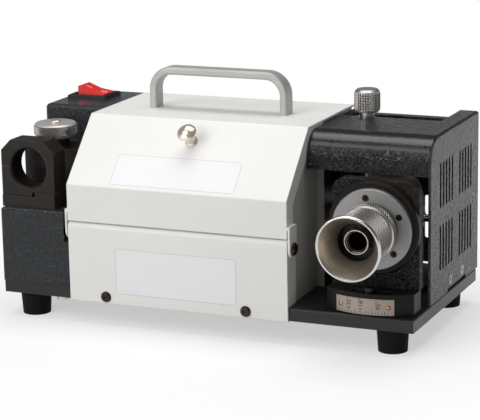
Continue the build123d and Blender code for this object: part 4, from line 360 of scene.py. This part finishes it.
sticker_white = finish(
    "sticker white", (0.86, 0.864, 0.87, 1), 0.22, patch=(0.845, 0.85, 0.86, 1), grains=300, depth=0.000002,
    patches=6, reach=0.0, spread=0.04,
)
sticker_line = finish(
    "sticker line", grey(0.62, -0.02), 0.30, patch=grey(0.57, -0.02), grains=300, depth=0.000002, reach=0.0,
)
upper_middle = at(
    UPPER_X, HOOD_FRONT_Y + UPPER_ALONG * math.cos(SLOPE), BEND_Z + UPPER_ALONG * math.sin(SLOPE),
)
upper_sticker = sticker(
    "upper_sticker", UPPER_STICKER, Matrix.Translation(upper_middle) @ Matrix.Rotation(SLOPE, 4, "X"),
)
lower_sticker = sticker(
    "lower_sticker", LOWER_STICKER,
    Matrix.Translation(at(LOWER_X, HOOD_FRONT_Y, LOWER_Z)) @ Matrix.Rotation(QUARTER, 4, "X"),
)
for piece, body in ((upper_sticker, "hood"), (lower_sticker, "machine")):
    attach(piece, body)


# ---- Black screws ------------------------------------------------------------------------------
# Blackened button head screws: the hood turns on two, and four hold the front and rear panels.  The ones
# in the chamber's cover are coloured much lighter, a painted sheen that stands in for their highlights.
black_oxide = finish(
    "black oxide", (0.034, 0.027, 0.024, 1), 0.34, metallic=1.0, patch=(0.05, 0.04, 0.036, 1),
    edge_highlight=grey(0.20, 0.08), grains=1800, depth=0.00001, reach=0.0003,
)
# painted sheen: a light colour on the cover's black screws, for their highlights
sheen_painted_oxide = finish(
    "oxide with painted sheen", (0.42, 0.37, 0.33, 1), 0.26, metallic=1.0, patch=(0.24, 0.20, 0.17, 1),
    edge_highlight=grey(0.42, 0.08), grains=1800, depth=0.00001, reach=0.0004,
)
dress(black_oxide, "panel_screws", "hood_pivots", "disc_screws", "rail_screws", "angle_lock")
dress(sheen_painted_oxide, "cover_screws")


# ---- Carrying handle ---------------------------------------------------------------------------
# A flat aluminium bar bent to a bow, satin finished with the grain along the bar.  Two screws from
# below hold it to the top plate.
handle_alloy = finish(
    "handle alloy", (0.47, 0.475, 0.45, 1), 0.46, metallic=0.45, patch=(0.42, 0.425, 0.40, 1), grains=900,
    depth=0.00001, stretch=(1, 6, 6), reach=0.0008,
)
dress(handle_alloy, "carry_handle")


# ---- Hood knob ---------------------------------------------------------------------------------
# A small turned knob in polished nickel, with a warm tone, screwed to the hood from inside.  The setting
# gauge's spindle is plated in the same way.
polished_nickel = finish(
    "polished nickel", (0.82, 0.73, 0.61, 1), 0.24, metallic=0.75, patch=(0.76, 0.67, 0.55, 1), grains=900,
    depth=0.000002, reach=0.0003, spread=0.05,
)
dress(polished_nickel, "hood_knob", "gauge_spindle")


# ---- Pedestal and switch housing ---------------------------------------------------------------
# Bent sheet in dark blue-grey hammered paint: the grain stands up on the upright faces and flows
# nearly smooth on the tops.
RIDGE_NOISE = (0.36, 0.62)      # noise values between which a ridge rises
WET_TILT = (0.15, 0.50)         # how far a face looks upwards before the paint begins to flow, and is flat
hammered, given, result = start_group(
    "hammered",
    [("Vector", "Vector", (0, 0, 0)), ("Size", "Float", 500.0), ("Flow", "Float", 0.02)],
    [("Relief", "Float")],
)
swirl = add_node(hammered, "TexNoise", {
    "Vector": given["Vector"], "Scale": given["Size"], "Detail": 1.5, "Roughness": 0.45, "Distortion": 1.4,
})
ridges = ramp(hammered, swirl.outputs["Fac"], RIDGE_NOISE, (0.0, 1.0), interpolation_type="SMOOTHSTEP")
upright = add_node(hammered, "SeparateXYZ", {0: add_node(hammered, "TexCoord").outputs["Normal"]})
left_wet = ramp(hammered, upright.outputs["Z"], WET_TILT, (1.0, given["Flow"]))
hammered.links.new(combined(hammered, "MULTIPLY", ridges, left_wet), result["Relief"])


def hammered_coat(name, colour, patch, edge_highlight, size, depth, roughness):
    """Hammered paint: size is how many ridges lie along a metre, and depth how high they stand, in metres."""
    coat = finish(
        name, colour, roughness, patch=patch, edge_highlight=edge_highlight, grains=1500, depth=0.00001, reach=0.0010, patches=14,
        shine=0.45,
    )
    tree = coat.node_tree
    shader = tree.nodes["Principled BSDF"]
    ridged = add_node(tree, "Group", node_tree=hammered)
    tree.links.new(add_node(tree, "TexCoord").outputs["Object"], ridged.inputs["Vector"])
    ridged.inputs["Size"].default_value = size
    under = shader.inputs["Normal"].links[0].from_socket
    raised = add_node(tree, "Bump", {"Height": ridged.outputs["Relief"], "Distance": depth, "Normal": under})
    tree.links.new(raised.outputs[0], shader.inputs["Normal"])
    return coat


slate_coat = hammered_coat(
    "slate coat", (0.021, 0.025, 0.029, 1), (0.028, 0.032, 0.036, 1), (0.07, 0.08, 0.088, 1),
    size=640, depth=0.0016, roughness=0.22,
)
dress(slate_coat, "pedestal", "left_housing")

# a V painted on the housing above the thumb wheel, which is set against it
STROKE_W, STROKE_L, STROKE_T = 2.3, 6.6, 0.25
STROKE_LEAN = 0.62              # radians from upright
STROKE_APART = 2.15             # from the middle of the V to the middle of a stroke
HOUSING_FRONT_Y, MARK_X, MARK_Z = 69.3, 22.6, 121.9
stroke_paint = finish(
    "stroke paint", grey(0.006), 0.30, patch=grey(0.010), grains=600, depth=0.00001, reach=0.0,
)


def emptied(name):
    """A piece in edit mode with nothing in it, to which operators then add."""
    bpy.ops.mesh.primitive_plane_add(size=1)
    piece = started(name)
    bpy.ops.mesh.select_all(action="SELECT")
    bpy.ops.mesh.delete(type="VERT")
    return piece


zero_mark = emptied("zero_mark")
for side in (-1, 1):
    bpy.ops.mesh.primitive_cube_add(size=1, scale=(STROKE_W * MM, STROKE_L * MM, STROKE_T * MM))
    bpy.ops.transform.rotate(value=side * STROKE_LEAN, orient_axis="Z", center_override=(0, 0, 0))
    bpy.ops.transform.translate(value=(side * STROKE_APART * MM, 0, 0))
settled(
    zero_mark, Matrix.Translation(at(MARK_X, HOUSING_FRONT_Y, MARK_Z)) @ Matrix.Rotation(QUARTER, 4, "X"),
)
dress(stroke_paint, zero_mark)
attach(zero_mark, "machine")


# ---- Switch ------------------------------------------------------------------------------------
# A red gloss rocker, moulded in one piece, that tilts in a black moulded frame.  A pale bar for on and a
# ring for off are printed on its two halves.
rocker_red = finish(
    "rocker red", (0.82, 0.022, 0.014, 1), 0.30, patch=(0.74, 0.018, 0.012, 1), grains=400, depth=0.000004,
    reach=0.0004, coat=0.15,
)
dress(rocker_red, "switch_rocker")

LEGEND_T = 0.16
BAR_L, BAR_W, BAR_CORNER = 4.8, 0.9, 0.06
BAR_X, BAR_UP = -5.8, 6.86              # from the rocker's pivot
RING_R, RING_W = 2.3, 0.7
RING_X, RING_UP = 7.2, 7.02
ROCKER_PIVOT = (21.5, 111.0, 128.0)
ROCKER_REST = math.radians(15)
ROCKER_FACE = math.radians(6.45)        # each half of the rocker's top leans towards the middle


def on_rocker(along, up, lean):
    """A place on one half of the rocker's top."""
    rocker = Matrix.Translation(at(*ROCKER_PIVOT)) @ Matrix.Rotation(ROCKER_REST, 4, "Y")
    return rocker @ Matrix.Translation(Vector((along, 0, up)) * MM) @ Matrix.Rotation(lean, 4, "Y")


bpy.ops.mesh.primitive_cube_add(size=1, scale=(BAR_L * MM, BAR_W * MM, LEGEND_T * MM))
on_bar = started("on_bar")
bpy.ops.mesh.select_all(action="SELECT")
bpy.ops.mesh.bevel(offset=BAR_CORNER * MM, segments=2)
settled(on_bar, on_rocker(BAR_X, BAR_UP, ROCKER_FACE))
bpy.ops.mesh.primitive_cylinder_add(vertices=40, radius=RING_R * MM, depth=LEGEND_T * MM)
off_ring = started("off_ring")
pick(off_ring, "FACE", lambda f: abs(f.normal.z) > FACING)
bpy.ops.mesh.inset(thickness=RING_W * MM)
bpy.ops.mesh.bridge_edge_loops()
bpy.ops.mesh.select_all(action="SELECT")
bpy.ops.mesh.normals_make_consistent(inside=False)
settled(off_ring, on_rocker(RING_X, RING_UP, -ROCKER_FACE))
legend_white = finish(
    "legend white", (0.80, 0.74, 0.72, 1), 0.32, patch=(0.72, 0.62, 0.60, 1), patches=900, grains=1800,
    depth=0.00001, reach=0.0,
)
for legend in (on_bar, off_ring):
    dress(legend_white, legend)
    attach(legend, "rocker")


# ---- Setting gauge -----------------------------------------------------------------------------
# Milled steel blocks, blackened to a dark brown with the tool's path still faintly visible, and a
# diamond knurled thumb wheel above them.
blackened = finish(
    "blackened steel", (0.0095, 0.0075, 0.0062, 1), 0.38, patch=(0.016, 0.0125, 0.010, 1),
    edge_highlight=(0.12, 0.10, 0.085, 1), grains=700, stretch=(1, 1, 5), depth=0.00003, reach=0.0006, shine=0.25,
)
turned_nickel = finish(
    "turned nickel", grey(0.56, 0.03), 0.40, metallic=1.0, patch=grey(0.40, 0.05), grains=1500,
    depth=0.00001, reach=0.0003,
)
knurled_nickel = finish(
    "knurled nickel", grey(0.52, 0.04), 0.34, metallic=0.9, patch=grey(0.43, 0.06), grains=1500,
    depth=0.00001, reach=0.0,
)
pale_nickel = finish(
    "pale nickel", grey(0.58, 0.04), 0.40, metallic=0.6, patch=grey(0.50, 0.06), grains=1500,
    depth=0.00001, reach=0.0003,
)
# painted shade for the valleys between knurl teeth
groove_shade = finish(
    "groove painted shade", grey(0.035, 0.10), 0.55, metallic=0.3, patch=grey(0.06, 0.10), grains=1500,
    depth=0.00001, reach=0.0,
)
dress(blackened, "gauge_socket", "gauge_way", "stop_carrier", "gauge_stop", "thinning_rail", "thinning_rest")
dress(turned_nickel, "thinning_screw", "chuck_body")
dress(pale_nickel, "gauge_knob")

GROOVE = 0.20                   # half the width of a groove's floor
TOOTH_DEPTH = 0.5
BAND_END = 0.97                 # share of its radius to which a band's end is drawn in, under its teeth
CLOSE = 1e-6


def knurl(name, profile, around, place):
    """A rolled band of diamond teeth about Z.  profile gives the height and radius of each ring."""
    (start, first), (end, _) = profile[0], profile[-1]
    bpy.ops.mesh.primitive_circle_add(vertices=around, radius=first * MM, location=(0, 0, start * MM))
    bpy.ops.object.transform_apply(location=True, rotation=True, scale=True)
    piece = started(name)
    bpy.ops.mesh.select_all(action="SELECT")
    for (low, small), (high, large) in zip(profile, profile[1:]):
        bpy.ops.mesh.extrude_region_move(TRANSFORM_OT_translate={"value": (0, 0, (high - low) * MM)})
        bpy.ops.transform.resize(value=(large / small, large / small, 1), center_override=(0, 0, high * MM))
    bpy.ops.mesh.select_all(action="SELECT")
    bpy.ops.object.mode_set(mode="OBJECT")
    side = piece.data.polygons[0]
    inwards = side.normal.x * side.center.x + side.normal.y * side.center.y < 0
    bpy.ops.object.mode_set(mode="EDIT")
    if inwards:
        bpy.ops.mesh.flip_normals()
    bpy.ops.mesh.mark_seam(clear=False)
    bpy.ops.mesh.poke()
    points = piece.data.vertices

    def within(part):
        heights = [points[index].co.z for index in part.vertices]
        return not any(all(abs(height - rim * MM) < CLOSE for height in heights) for rim in (start, end))

    pick(piece, "EDGE", lambda e: e.use_seam and within(e))
    bpy.ops.mesh.dissolve_edges(use_verts=False, use_face_split=False)
    pick(piece, "FACE", lambda f: len(f.vertices) == 4)
    bpy.ops.mesh.inset(thickness=GROOVE * MM, use_individual=True)
    bpy.ops.mesh.poke(offset=TOOTH_DEPTH * MM, use_relative_offset=False)
    bpy.ops.object.mode_set(mode="OBJECT")
    # the groove floors and the band's ends get the near black painted shade, the teeth the plated metal
    for coat in (knurled_nickel, groove_shade):
        piece.data.materials.append(coat)
    for face in piece.data.polygons:
        face.material_index = int(not face.select)
    bpy.ops.object.mode_set(mode="EDIT")
    pick(piece, "EDGE", lambda e: not within(e))
    bpy.ops.mesh.extrude_region_move()
    bpy.ops.transform.resize(value=(BAND_END, BAND_END, 1), center_override=(0, 0, 0))
    bpy.ops.mesh.bridge_edge_loops()
    bpy.ops.mesh.select_all(action="SELECT")
    bpy.ops.mesh.normals_make_consistent(inside=False)
    return settled(piece, place)


def even_rings(low, high, small, large, count):
    """Rings at even heights between two ends, with the radius going evenly from one to the other."""
    steps = [step / count for step in range(count + 1)]
    return [(low + (high - low) * share, small + (large - small) * share) for share in steps]


LIFT = 0.04                     # keeps a band's valleys just clear of the bar under it
WHEEL_R, WHEEL_LOW, WHEEL_HIGH = 15.8, 2.3, 9.2
wheel_centre = Matrix.Translation(at(22.0, 46.5, 109.7))
wheel_rings = even_rings(WHEEL_LOW, WHEEL_HIGH, WHEEL_R + LIFT, WHEEL_R + LIFT, 4)
wheel_knurl = knurl("wheel_knurl", wheel_rings, 56, wheel_centre)
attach(wheel_knurl, "setting_knob")
FEED_R, FEED_LOW, FEED_HIGH = 9.2, 1.2, 14.4
feed_centre = Matrix.Translation(at(245.0, 111.5, 130.0))
feed_rings = even_rings(FEED_LOW, FEED_HIGH, FEED_R + LIFT, FEED_R + LIFT, 7)
feed_knurl = knurl("feed_knurl", feed_rings, 30, feed_centre)
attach(feed_knurl, "thinning_knob")

# the wheel's set screw, flush in its rim
WHEEL_SCREW_TURN = math.radians(62)     # to the right of the front
WHEEL_SCREW_R, WHEEL_SCREW_L, WHEEL_SCREW_UP = 1.75, 1.2, 5.6
DISH_RIM, DISH_DEPTH = 0.35, 0.25
SOCKET_RIM, SOCKET_DEPTH = 0.45, 0.6
SCREW_SINK = 0.05
bpy.ops.mesh.primitive_cylinder_add(vertices=28, radius=WHEEL_SCREW_R * MM, depth=WHEEL_SCREW_L * MM)
wheel_screw = started("wheel_screw")
pick(wheel_screw, "FACE", lambda f: f.normal.z > FACING)
for rim, depth in ((DISH_RIM, DISH_DEPTH), (SOCKET_RIM, SOCKET_DEPTH)):
    bpy.ops.mesh.inset(thickness=rim * MM)
    bpy.ops.mesh.extrude_region_move(TRANSFORM_OT_translate={"value": (0, 0, -depth * MM)})
settled(
    wheel_screw,
    wheel_centre @ Matrix.Rotation(WHEEL_SCREW_TURN, 4, "Z") @ Matrix.Rotation(QUARTER, 4, "X")
    @ Matrix.Translation(Vector((0, WHEEL_SCREW_UP, WHEEL_R - SCREW_SINK)) * MM),
)
dress(black_oxide, wheel_screw)
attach(wheel_screw, "setting_knob")


# ---- Grinding chamber covers -------------------------------------------------------------------
# The right-hand cover and the rear panel, bent from steel sheet with vents cut in them, in a near black
# hammered paint.  Screws hold them to the base plate and to a bracket.
black_coat = hammered_coat(
    "black coat", (0.010, 0.0105, 0.012, 1), (0.015, 0.014, 0.014, 1), (0.07, 0.07, 0.072, 1),
    size=440, depth=0.0022, roughness=0.16,
)
dress(black_coat, "right_cover", "rear_panel")


# ---- Swivelling head ---------------------------------------------------------------------------
# A steel slab that turns on a pin, with a riveted angle scale, and an upright plate in wrinkled paint.
# The plate carries a dark ring and a plain turned disc, in which the chuck's guide sits.
foot_satin = finish(
    "foot satin", grey(0.006, 0.02), 0.36, patch=grey(0.009, 0.02), edge_highlight=grey(0.05, 0.03), grains=900,
    depth=0.00003, reach=0.0006, shine=0.15,
)
head_coat = hammered_coat(
    "head coat", (0.009, 0.0072, 0.0056, 1), (0.014, 0.011, 0.0085, 1), (0.07, 0.06, 0.05, 1),
    size=560, depth=0.0016, roughness=0.30,
)
ring_brown = finish(
    "ring brown", (0.010, 0.008, 0.0066, 1), 0.34, patch=(0.014, 0.011, 0.009, 1),
    edge_highlight=(0.07, 0.06, 0.05, 1), grains=900, depth=0.00001, shine=0.15,
)
turned_silver = finish(
    "turned silver", grey(0.31, 0.01), 0.46, metallic=0.9, patch=grey(0.27, 0.01), grains=900,
    depth=0.00002, reach=0.0004,
)
scale_alloy = finish(
    "scale alloy", grey(0.32, 0.12), 0.40, metallic=0.7, patch=grey(0.25, 0.16), grains=900, depth=0.00001,
    reach=0.0003,
)
copper = finish(
    "copper", (0.60, 0.26, 0.13, 1), 0.22, metallic=1.0, patch=(0.50, 0.20, 0.10, 1), grains=900,
    depth=0.00001,
)
dress(foot_satin, "swivel_foot")
dress(head_coat, "head_plate")
dress(ring_brown, "head_ring")
dress(turned_silver, "flange_disc")
dress(scale_alloy, "angle_scale")
dress(copper, "scale_rivets")

SCALE_R = 62.34                 # the scale plate's face, about the pin that the head turns on
PIN_X, PIN_Y = 283.0, 63.0
INK_T = 0.16
TICK_ANGLES = [-13.5 + 2 * step for step in range(15)]
TICK_TALL, TICK_W, TICK_FOOT = (1.5, 2.7), 0.38, 10.4       # short and long ones take turns
TALLEST, TALLEST_TALL = 1, 3.7  # the one that stands out
TOP_TICK_ANGLES = [-13 + 2.5 * step for step in range(11)]
TOP_TICK_TALL, TOP_TICK_W, TOP_TICK_FOOT = 0.8, 0.26, 20.4
FIGURES = ((-11.5, "135°"), (-3.0, "118°"), (8.5, "95°"))
FIGURE_TALL, FIGURE_Z = 4.7, 17.2
scale_ink = finish(
    "scale ink", grey(0.012, 0.04), 0.40, patch=grey(0.03, 0.06), patches=400, grains=900, depth=0.000004,
    reach=0.0,
)

scale_marks = emptied("scale_marks")
ticks = [
    (angle, TALLEST_TALL if step == TALLEST else TICK_TALL[step % 2], TICK_W, TICK_FOOT)
    for step, angle in enumerate(TICK_ANGLES)
]
ticks += [(angle, TOP_TICK_TALL, TOP_TICK_W, TOP_TICK_FOOT) for angle in TOP_TICK_ANGLES]
for angle, tall, wide, low in ticks:
    bpy.ops.mesh.select_all(action="DESELECT")
    bpy.ops.mesh.primitive_cube_add(size=1, scale=(wide * MM, tall * MM, INK_T * MM))
    bpy.ops.transform.rotate(value=-QUARTER, orient_axis="X", center_override=(0, 0, 0))
    bpy.ops.transform.translate(value=(0, -SCALE_R * MM, (low + tall / 2) * MM))
    bpy.ops.transform.rotate(value=-math.radians(angle), orient_axis="Z", center_override=(0, 0, 0))
settled(scale_marks, Matrix.Translation(at(PIN_X, PIN_Y, 0)))
figures = []
for angle, figure in FIGURES:
    bpy.ops.object.text_add(location=(0, 0, 0))
    number = bpy.context.object
    number.data.body = figure
    number.data.size = FIGURE_TALL * MM
    number.data.extrude = INK_T / 2 * MM
    number.data.align_x, number.data.align_y = "CENTER", "CENTER"
    number.data.resolution_u = 3
    bpy.ops.object.convert(target="MESH")
    number = bpy.context.object
    only(number)
    number.name = number.data.name = "scale_" + figure.strip("°")
    bpy.ops.object.mode_set(mode="EDIT")
    bpy.ops.mesh.select_all(action="SELECT")
    bpy.ops.mesh.remove_doubles(threshold=CLOSE)
    bpy.ops.mesh.normals_make_consistent(inside=False)
    settled(
        number,
        Matrix.Translation(at(PIN_X, PIN_Y, FIGURE_Z)) @ Matrix.Rotation(math.radians(angle), 4, "Z")
        @ Matrix.Rotation(QUARTER, 4, "X") @ Matrix.Translation((0, 0, SCALE_R * MM))
        @ Matrix.Rotation(QUARTER, 4, "Z"),
    )
    figures.append(number)
for mark in (scale_marks, *figures):
    dress(scale_ink, mark)
    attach(mark, "grinding_head")


# ---- Chuck -------------------------------------------------------------------------------------
# The chuck's grip and its draw nut, turned from steel and plated, with diamond knurling all along.  The
# nut flares to a wide mouth whose rim is rounded and polished and whose inside is satin; the recess
# deeper in is painted near black, a painted shade.
CHUCK_TILT = math.radians(3.0)
GRIP_FRONT = (PIN_X, 13.0, 67.1)        # on the chuck's axis, where heights along it begin
chuck_axis = Matrix.Translation(at(*GRIP_FRONT)) @ Matrix.Rotation(QUARTER + CHUCK_TILT, 4, "X")
GRIP_R, GRIP_LOW, GRIP_HIGH = 19.6, 1.7, 8.7
grip_rings = even_rings(GRIP_LOW, GRIP_HIGH, GRIP_R + LIFT, GRIP_R + LIFT, 2)
grip_knurl = knurl("grip_knurl", grip_rings, 62, chuck_axis)
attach(grip_knurl, "chuck")

# the nut's section, as radii and heights along the axis: outside, round rim, mouth, seat of the collet
NUT_R, NUT_BORE, NUT_BACK, NUT_CHAMFER = 18.8, 12.46, 10.0, 0.5
FLARE_FROM, FLARE_R, RIM_R, RIM_AT = 39.5, 23.2, 21.2, 46.2
MOUTH_R, MOUTH_FLOOR, SEAT_FLOOR = 13.3, 30.0, 21.6
SEAT_R, SEAT_BACK = 9.06, 20.2
NUT_OUTLINE = [
    (NUT_BORE, NUT_BACK), (NUT_R - NUT_CHAMFER, NUT_BACK), (NUT_R, NUT_BACK + NUT_CHAMFER),
    (NUT_R, FLARE_FROM), (23.0, 44.1), (FLARE_R, 44.8), (FLARE_R, 45.8), (23.0, 46.35), (22.6, 46.7),
    (22.1, 46.8), (21.65, 46.7), (RIM_R, RIM_AT), (MOUTH_R, MOUTH_FLOOR), (MOUTH_R, SEAT_FLOOR),
    (SEAT_R, SEAT_FLOOR), (SEAT_R, SEAT_BACK), (NUT_BORE, SEAT_BACK),
]
WELD = 0.01
bpy.ops.mesh.primitive_circle_add(vertices=len(NUT_OUTLINE), radius=1)
nut = started("draw_nut_turned")
bpy.ops.object.mode_set(mode="OBJECT")
for point, (radius, height) in zip(nut.data.vertices, NUT_OUTLINE):
    point.co = (radius * MM, 0, height * MM)
bpy.ops.object.mode_set(mode="EDIT")
bpy.ops.mesh.select_all(action="SELECT")
bpy.ops.mesh.spin(steps=96, angle=math.tau, center=(0, 0, 0), axis=(0, 0, 1))
bpy.ops.mesh.select_all(action="SELECT")
bpy.ops.mesh.remove_doubles(threshold=WELD * MM)
bpy.ops.mesh.normals_make_consistent(inside=False)
rim_metal = finish(
    "rim metal", grey(0.66, 0.02), 0.20, metallic=1.0, patch=grey(0.56, 0.04), grains=900, depth=0.000006,
    reach=0.0, spread=0.10,
)
mouth_satin = finish(
    "mouth satin", (0.52, 0.47, 0.405, 1), 0.34, metallic=0.9, patch=(0.42, 0.37, 0.31, 1), patches=90,
    grains=900, depth=0.000012, reach=0.0, spread=0.08,
)
# painted shade: the deep recess behind the mouth, where the collet seats, is coloured near black
recess_shade = finish(
    "recess painted shade", (0.010, 0.009, 0.008, 1), 0.42, patch=(0.02, 0.017, 0.014, 1), grains=900, depth=0.00001,
    reach=0.0, shine=0.3,
)
for coat in (rim_metal, mouth_satin, recess_shade):
    nut.data.materials.append(coat)
bpy.ops.object.mode_set(mode="OBJECT")
JUST = 0.2                      # tells the cone from the bore behind it, and the seat's back from its bore
SMOOTH_BELOW = math.radians(35)
for face in nut.data.polygons:
    away = math.hypot(face.center.x, face.center.y) / MM
    inside = face.center.z / MM > SEAT_BACK - JUST and away < RIM_R
    face.material_index = 0 if not inside else 1 if away > MOUTH_R + JUST else 2
settled(nut, chuck_axis)
only(nut)
bpy.ops.object.shade_smooth_by_angle(angle=SMOOTH_BELOW)
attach(nut, "draw_nut")
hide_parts("collet_nut")
KNURL_LOW, KNURL_BEND, KNURL_HIGH, KNURL_HIGH_R = 11.2, 39.4, 43.9, 22.9
nut_rings = even_rings(KNURL_LOW, KNURL_BEND, NUT_R + LIFT, NUT_R + LIFT, 9)
flare_rings = even_rings(KNURL_BEND, KNURL_HIGH, NUT_R + LIFT, KNURL_HIGH_R, 2)
nut_knurl = knurl("nut_knurl", nut_rings, 60, chuck_axis)
flare_knurl = knurl("flare_knurl", flare_rings, 60, chuck_axis)
for band in (nut_knurl, flare_knurl):
    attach(band, "draw_nut")

# the collet is bright at its lip, and painted dark inside its bore and slits, a painted shade for the deep
# hole
LIP_FROM = 8.0                  # radius
BORE_SHADE = (0.035, 0.03, 0.026, 1)
collet_steel = finish(
    "collet steel", grey(0.60, 0.06), 0.28, metallic=1.0, patch=grey(0.48, 0.08), grains=1500, depth=0.00001,
    reach=0.0,
)
tree = collet_steel.node_tree
shader = tree.nodes["Principled BSDF"]
bright = shader.inputs["Base Color"].links[0].from_socket
along = add_node(tree, "Mapping", {
    "Vector": add_node(tree, "TexCoord").outputs["Object"],
    "Location": chuck_axis.translation, "Rotation": chuck_axis.to_euler(),
}, vector_type="TEXTURE")
across = add_node(tree, "VectorMath", {0: along.outputs[0], 1: (1, 1, 0)}, operation="MULTIPLY")
radius = add_node(tree, "VectorMath", {0: across.outputs[0]}, operation="LENGTH")
lip = combined(tree, "GREATER_THAN", radius.outputs["Value"], LIP_FROM * MM)
# painted shade: inside the lip's radius the collet's colour goes near black
tree.links.new(mixed(tree, lip, BORE_SHADE, bright), shader.inputs["Base Color"])
dress(collet_steel, "chuck_collet")


# ---- Stage, lights and camera ------------------------------------------------------------------
# A plain white floor, soft lamps in front and above, and a white surround; the camera stands to the
# right of the middle, a little above the hood.
FLOOR_SIZE = 6.0
FLOOR_LIT, FLOOR_SEEN = grey(0.45), grey(0.92)      # for light that falls on the machine, and for the eye
FLOOR_FADE = (0.14, 0.34)       # distance from the middle over which the floor goes over into plain white
FLOOR_GLOW = 0.52               # share of plain white next to the machine, where its shadow falls
bpy.ops.mesh.primitive_plane_add(size=FLOOR_SIZE, location=(0, 0, 0))
floor = bpy.context.object
floor.name = "floor"
floor_white = bpy.data.materials.new("floor white")
floor_white.use_nodes = True
tree = floor_white.node_tree
shader = tree.nodes["Principled BSDF"]
shader.inputs["Roughness"].default_value = 0.7
paths = add_node(tree, "LightPath")
seen = combined(tree, "MAXIMUM", paths.outputs["Is Camera Ray"], paths.outputs["Is Glossy Ray"])
tree.links.new(mixed(tree, seen, FLOOR_LIT, FLOOR_SEEN), shader.inputs["Base Color"])
place = add_node(tree, "TexCoord").outputs["Object"]
away = add_node(tree, "VectorMath", {0: place}, operation="LENGTH")
fade = ramp(tree, away.outputs["Value"], FLOOR_FADE, (FLOOR_GLOW, 1.0), interpolation_type="SMOOTHSTEP")
share = combined(tree, "MULTIPLY", seen, fade)
glow = add_node(tree, "Emission", {"Color": (1, 1, 1, 1), "Strength": 1.0})
blend = add_node(tree, "MixShader", {0: share, 1: shader.outputs[0], 2: glow.outputs[0]})
tree.links.new(blend.outputs[0], tree.nodes["Material Output"].inputs["Surface"])
floor.data.materials.append(floor_white)

SKY_LIGHT = 0.26                # for light that falls on the machine
DOME_HEIGHT, DOME_TOP = 0.18, 0.11      # metal sees white at the floor, and this grey from this height up
world = bpy.data.worlds.new("surround")
bpy.context.scene.world = world
world.use_nodes = True
tree = world.node_tree
tree.nodes.clear()
paths = add_node(tree, "LightPath")
height = add_node(tree, "SeparateXYZ", {0: add_node(tree, "TexCoord").outputs["Generated"]}).outputs["Z"]
dome = ramp(tree, height, (0.0, DOME_HEIGHT), (1.0, DOME_TOP), interpolation_type="SMOOTHSTEP")
seen = combined(tree, "MAXIMUM", paths.outputs["Is Camera Ray"], paths.outputs["Is Transmission Ray"])
around = ramp(tree, paths.outputs["Is Glossy Ray"], (0.0, 1.0), (SKY_LIGHT, dome))
level = combined(tree, "MAXIMUM", seen, around)
sky = add_node(tree, "Background", {"Color": (1, 1, 1, 1), "Strength": level})
add_node(tree, "OutputWorld", {"Surface": sky.outputs[0]})

LAMP_AIM = Vector((0, 0, 0.08))


def softbox(name, turned_by, height, away, size, power):
    """A lamp at an angle left of the front and a height angle, both in degrees, facing the machine."""
    side, up = math.radians(turned_by), math.radians(height)
    towards = Vector((-math.sin(side) * math.cos(up), -math.cos(side) * math.cos(up), math.sin(up)))
    bpy.ops.object.light_add(type="AREA", location=towards * away + LAMP_AIM)
    lamp = bpy.context.object
    lamp.name = name
    lamp.data.shape = "RECTANGLE"
    lamp.data.size, lamp.data.size_y = size
    lamp.data.energy = power
    lamp.rotation_euler = towards.to_track_quat("Z", "Y").to_euler()


softbox("key lamp", 25, 42, 1.9, (1.2, 1.2), 12.5)
softbox("top lamp", 180, 84, 1.5, (1.3, 0.9), 14)
softbox("strip lamp", 23, 13, 1.8, (1.6, 0.20), 9)

YAW, PITCH, ROLL = (math.radians(angle) for angle in (23.596, 13.4915, -1.059))
CAMERA_AIM = Vector((0.005751, 0.002725, 0.078244))
CAMERA_AWAY = 1.46379
LENS, SENSOR_W = 150.38, 36.0
turn = Matrix.Rotation(YAW, 4, "Z") @ Matrix.Rotation(QUARTER - PITCH, 4, "X") @ Matrix.Rotation(ROLL, 4, "Z")
lens = bpy.data.cameras.new("camera")
lens.sensor_width = SENSOR_W
lens.lens = LENS
camera = bpy.data.objects.new("camera", lens)
bpy.context.scene.collection.objects.link(camera)
camera.matrix_world = Matrix.Translation(CAMERA_AIM + turn @ Vector((0, 0, CAMERA_AWAY))) @ turn
bpy.context.scene.camera = camera
bpy.context.scene.view_settings.view_transform = "Standard"
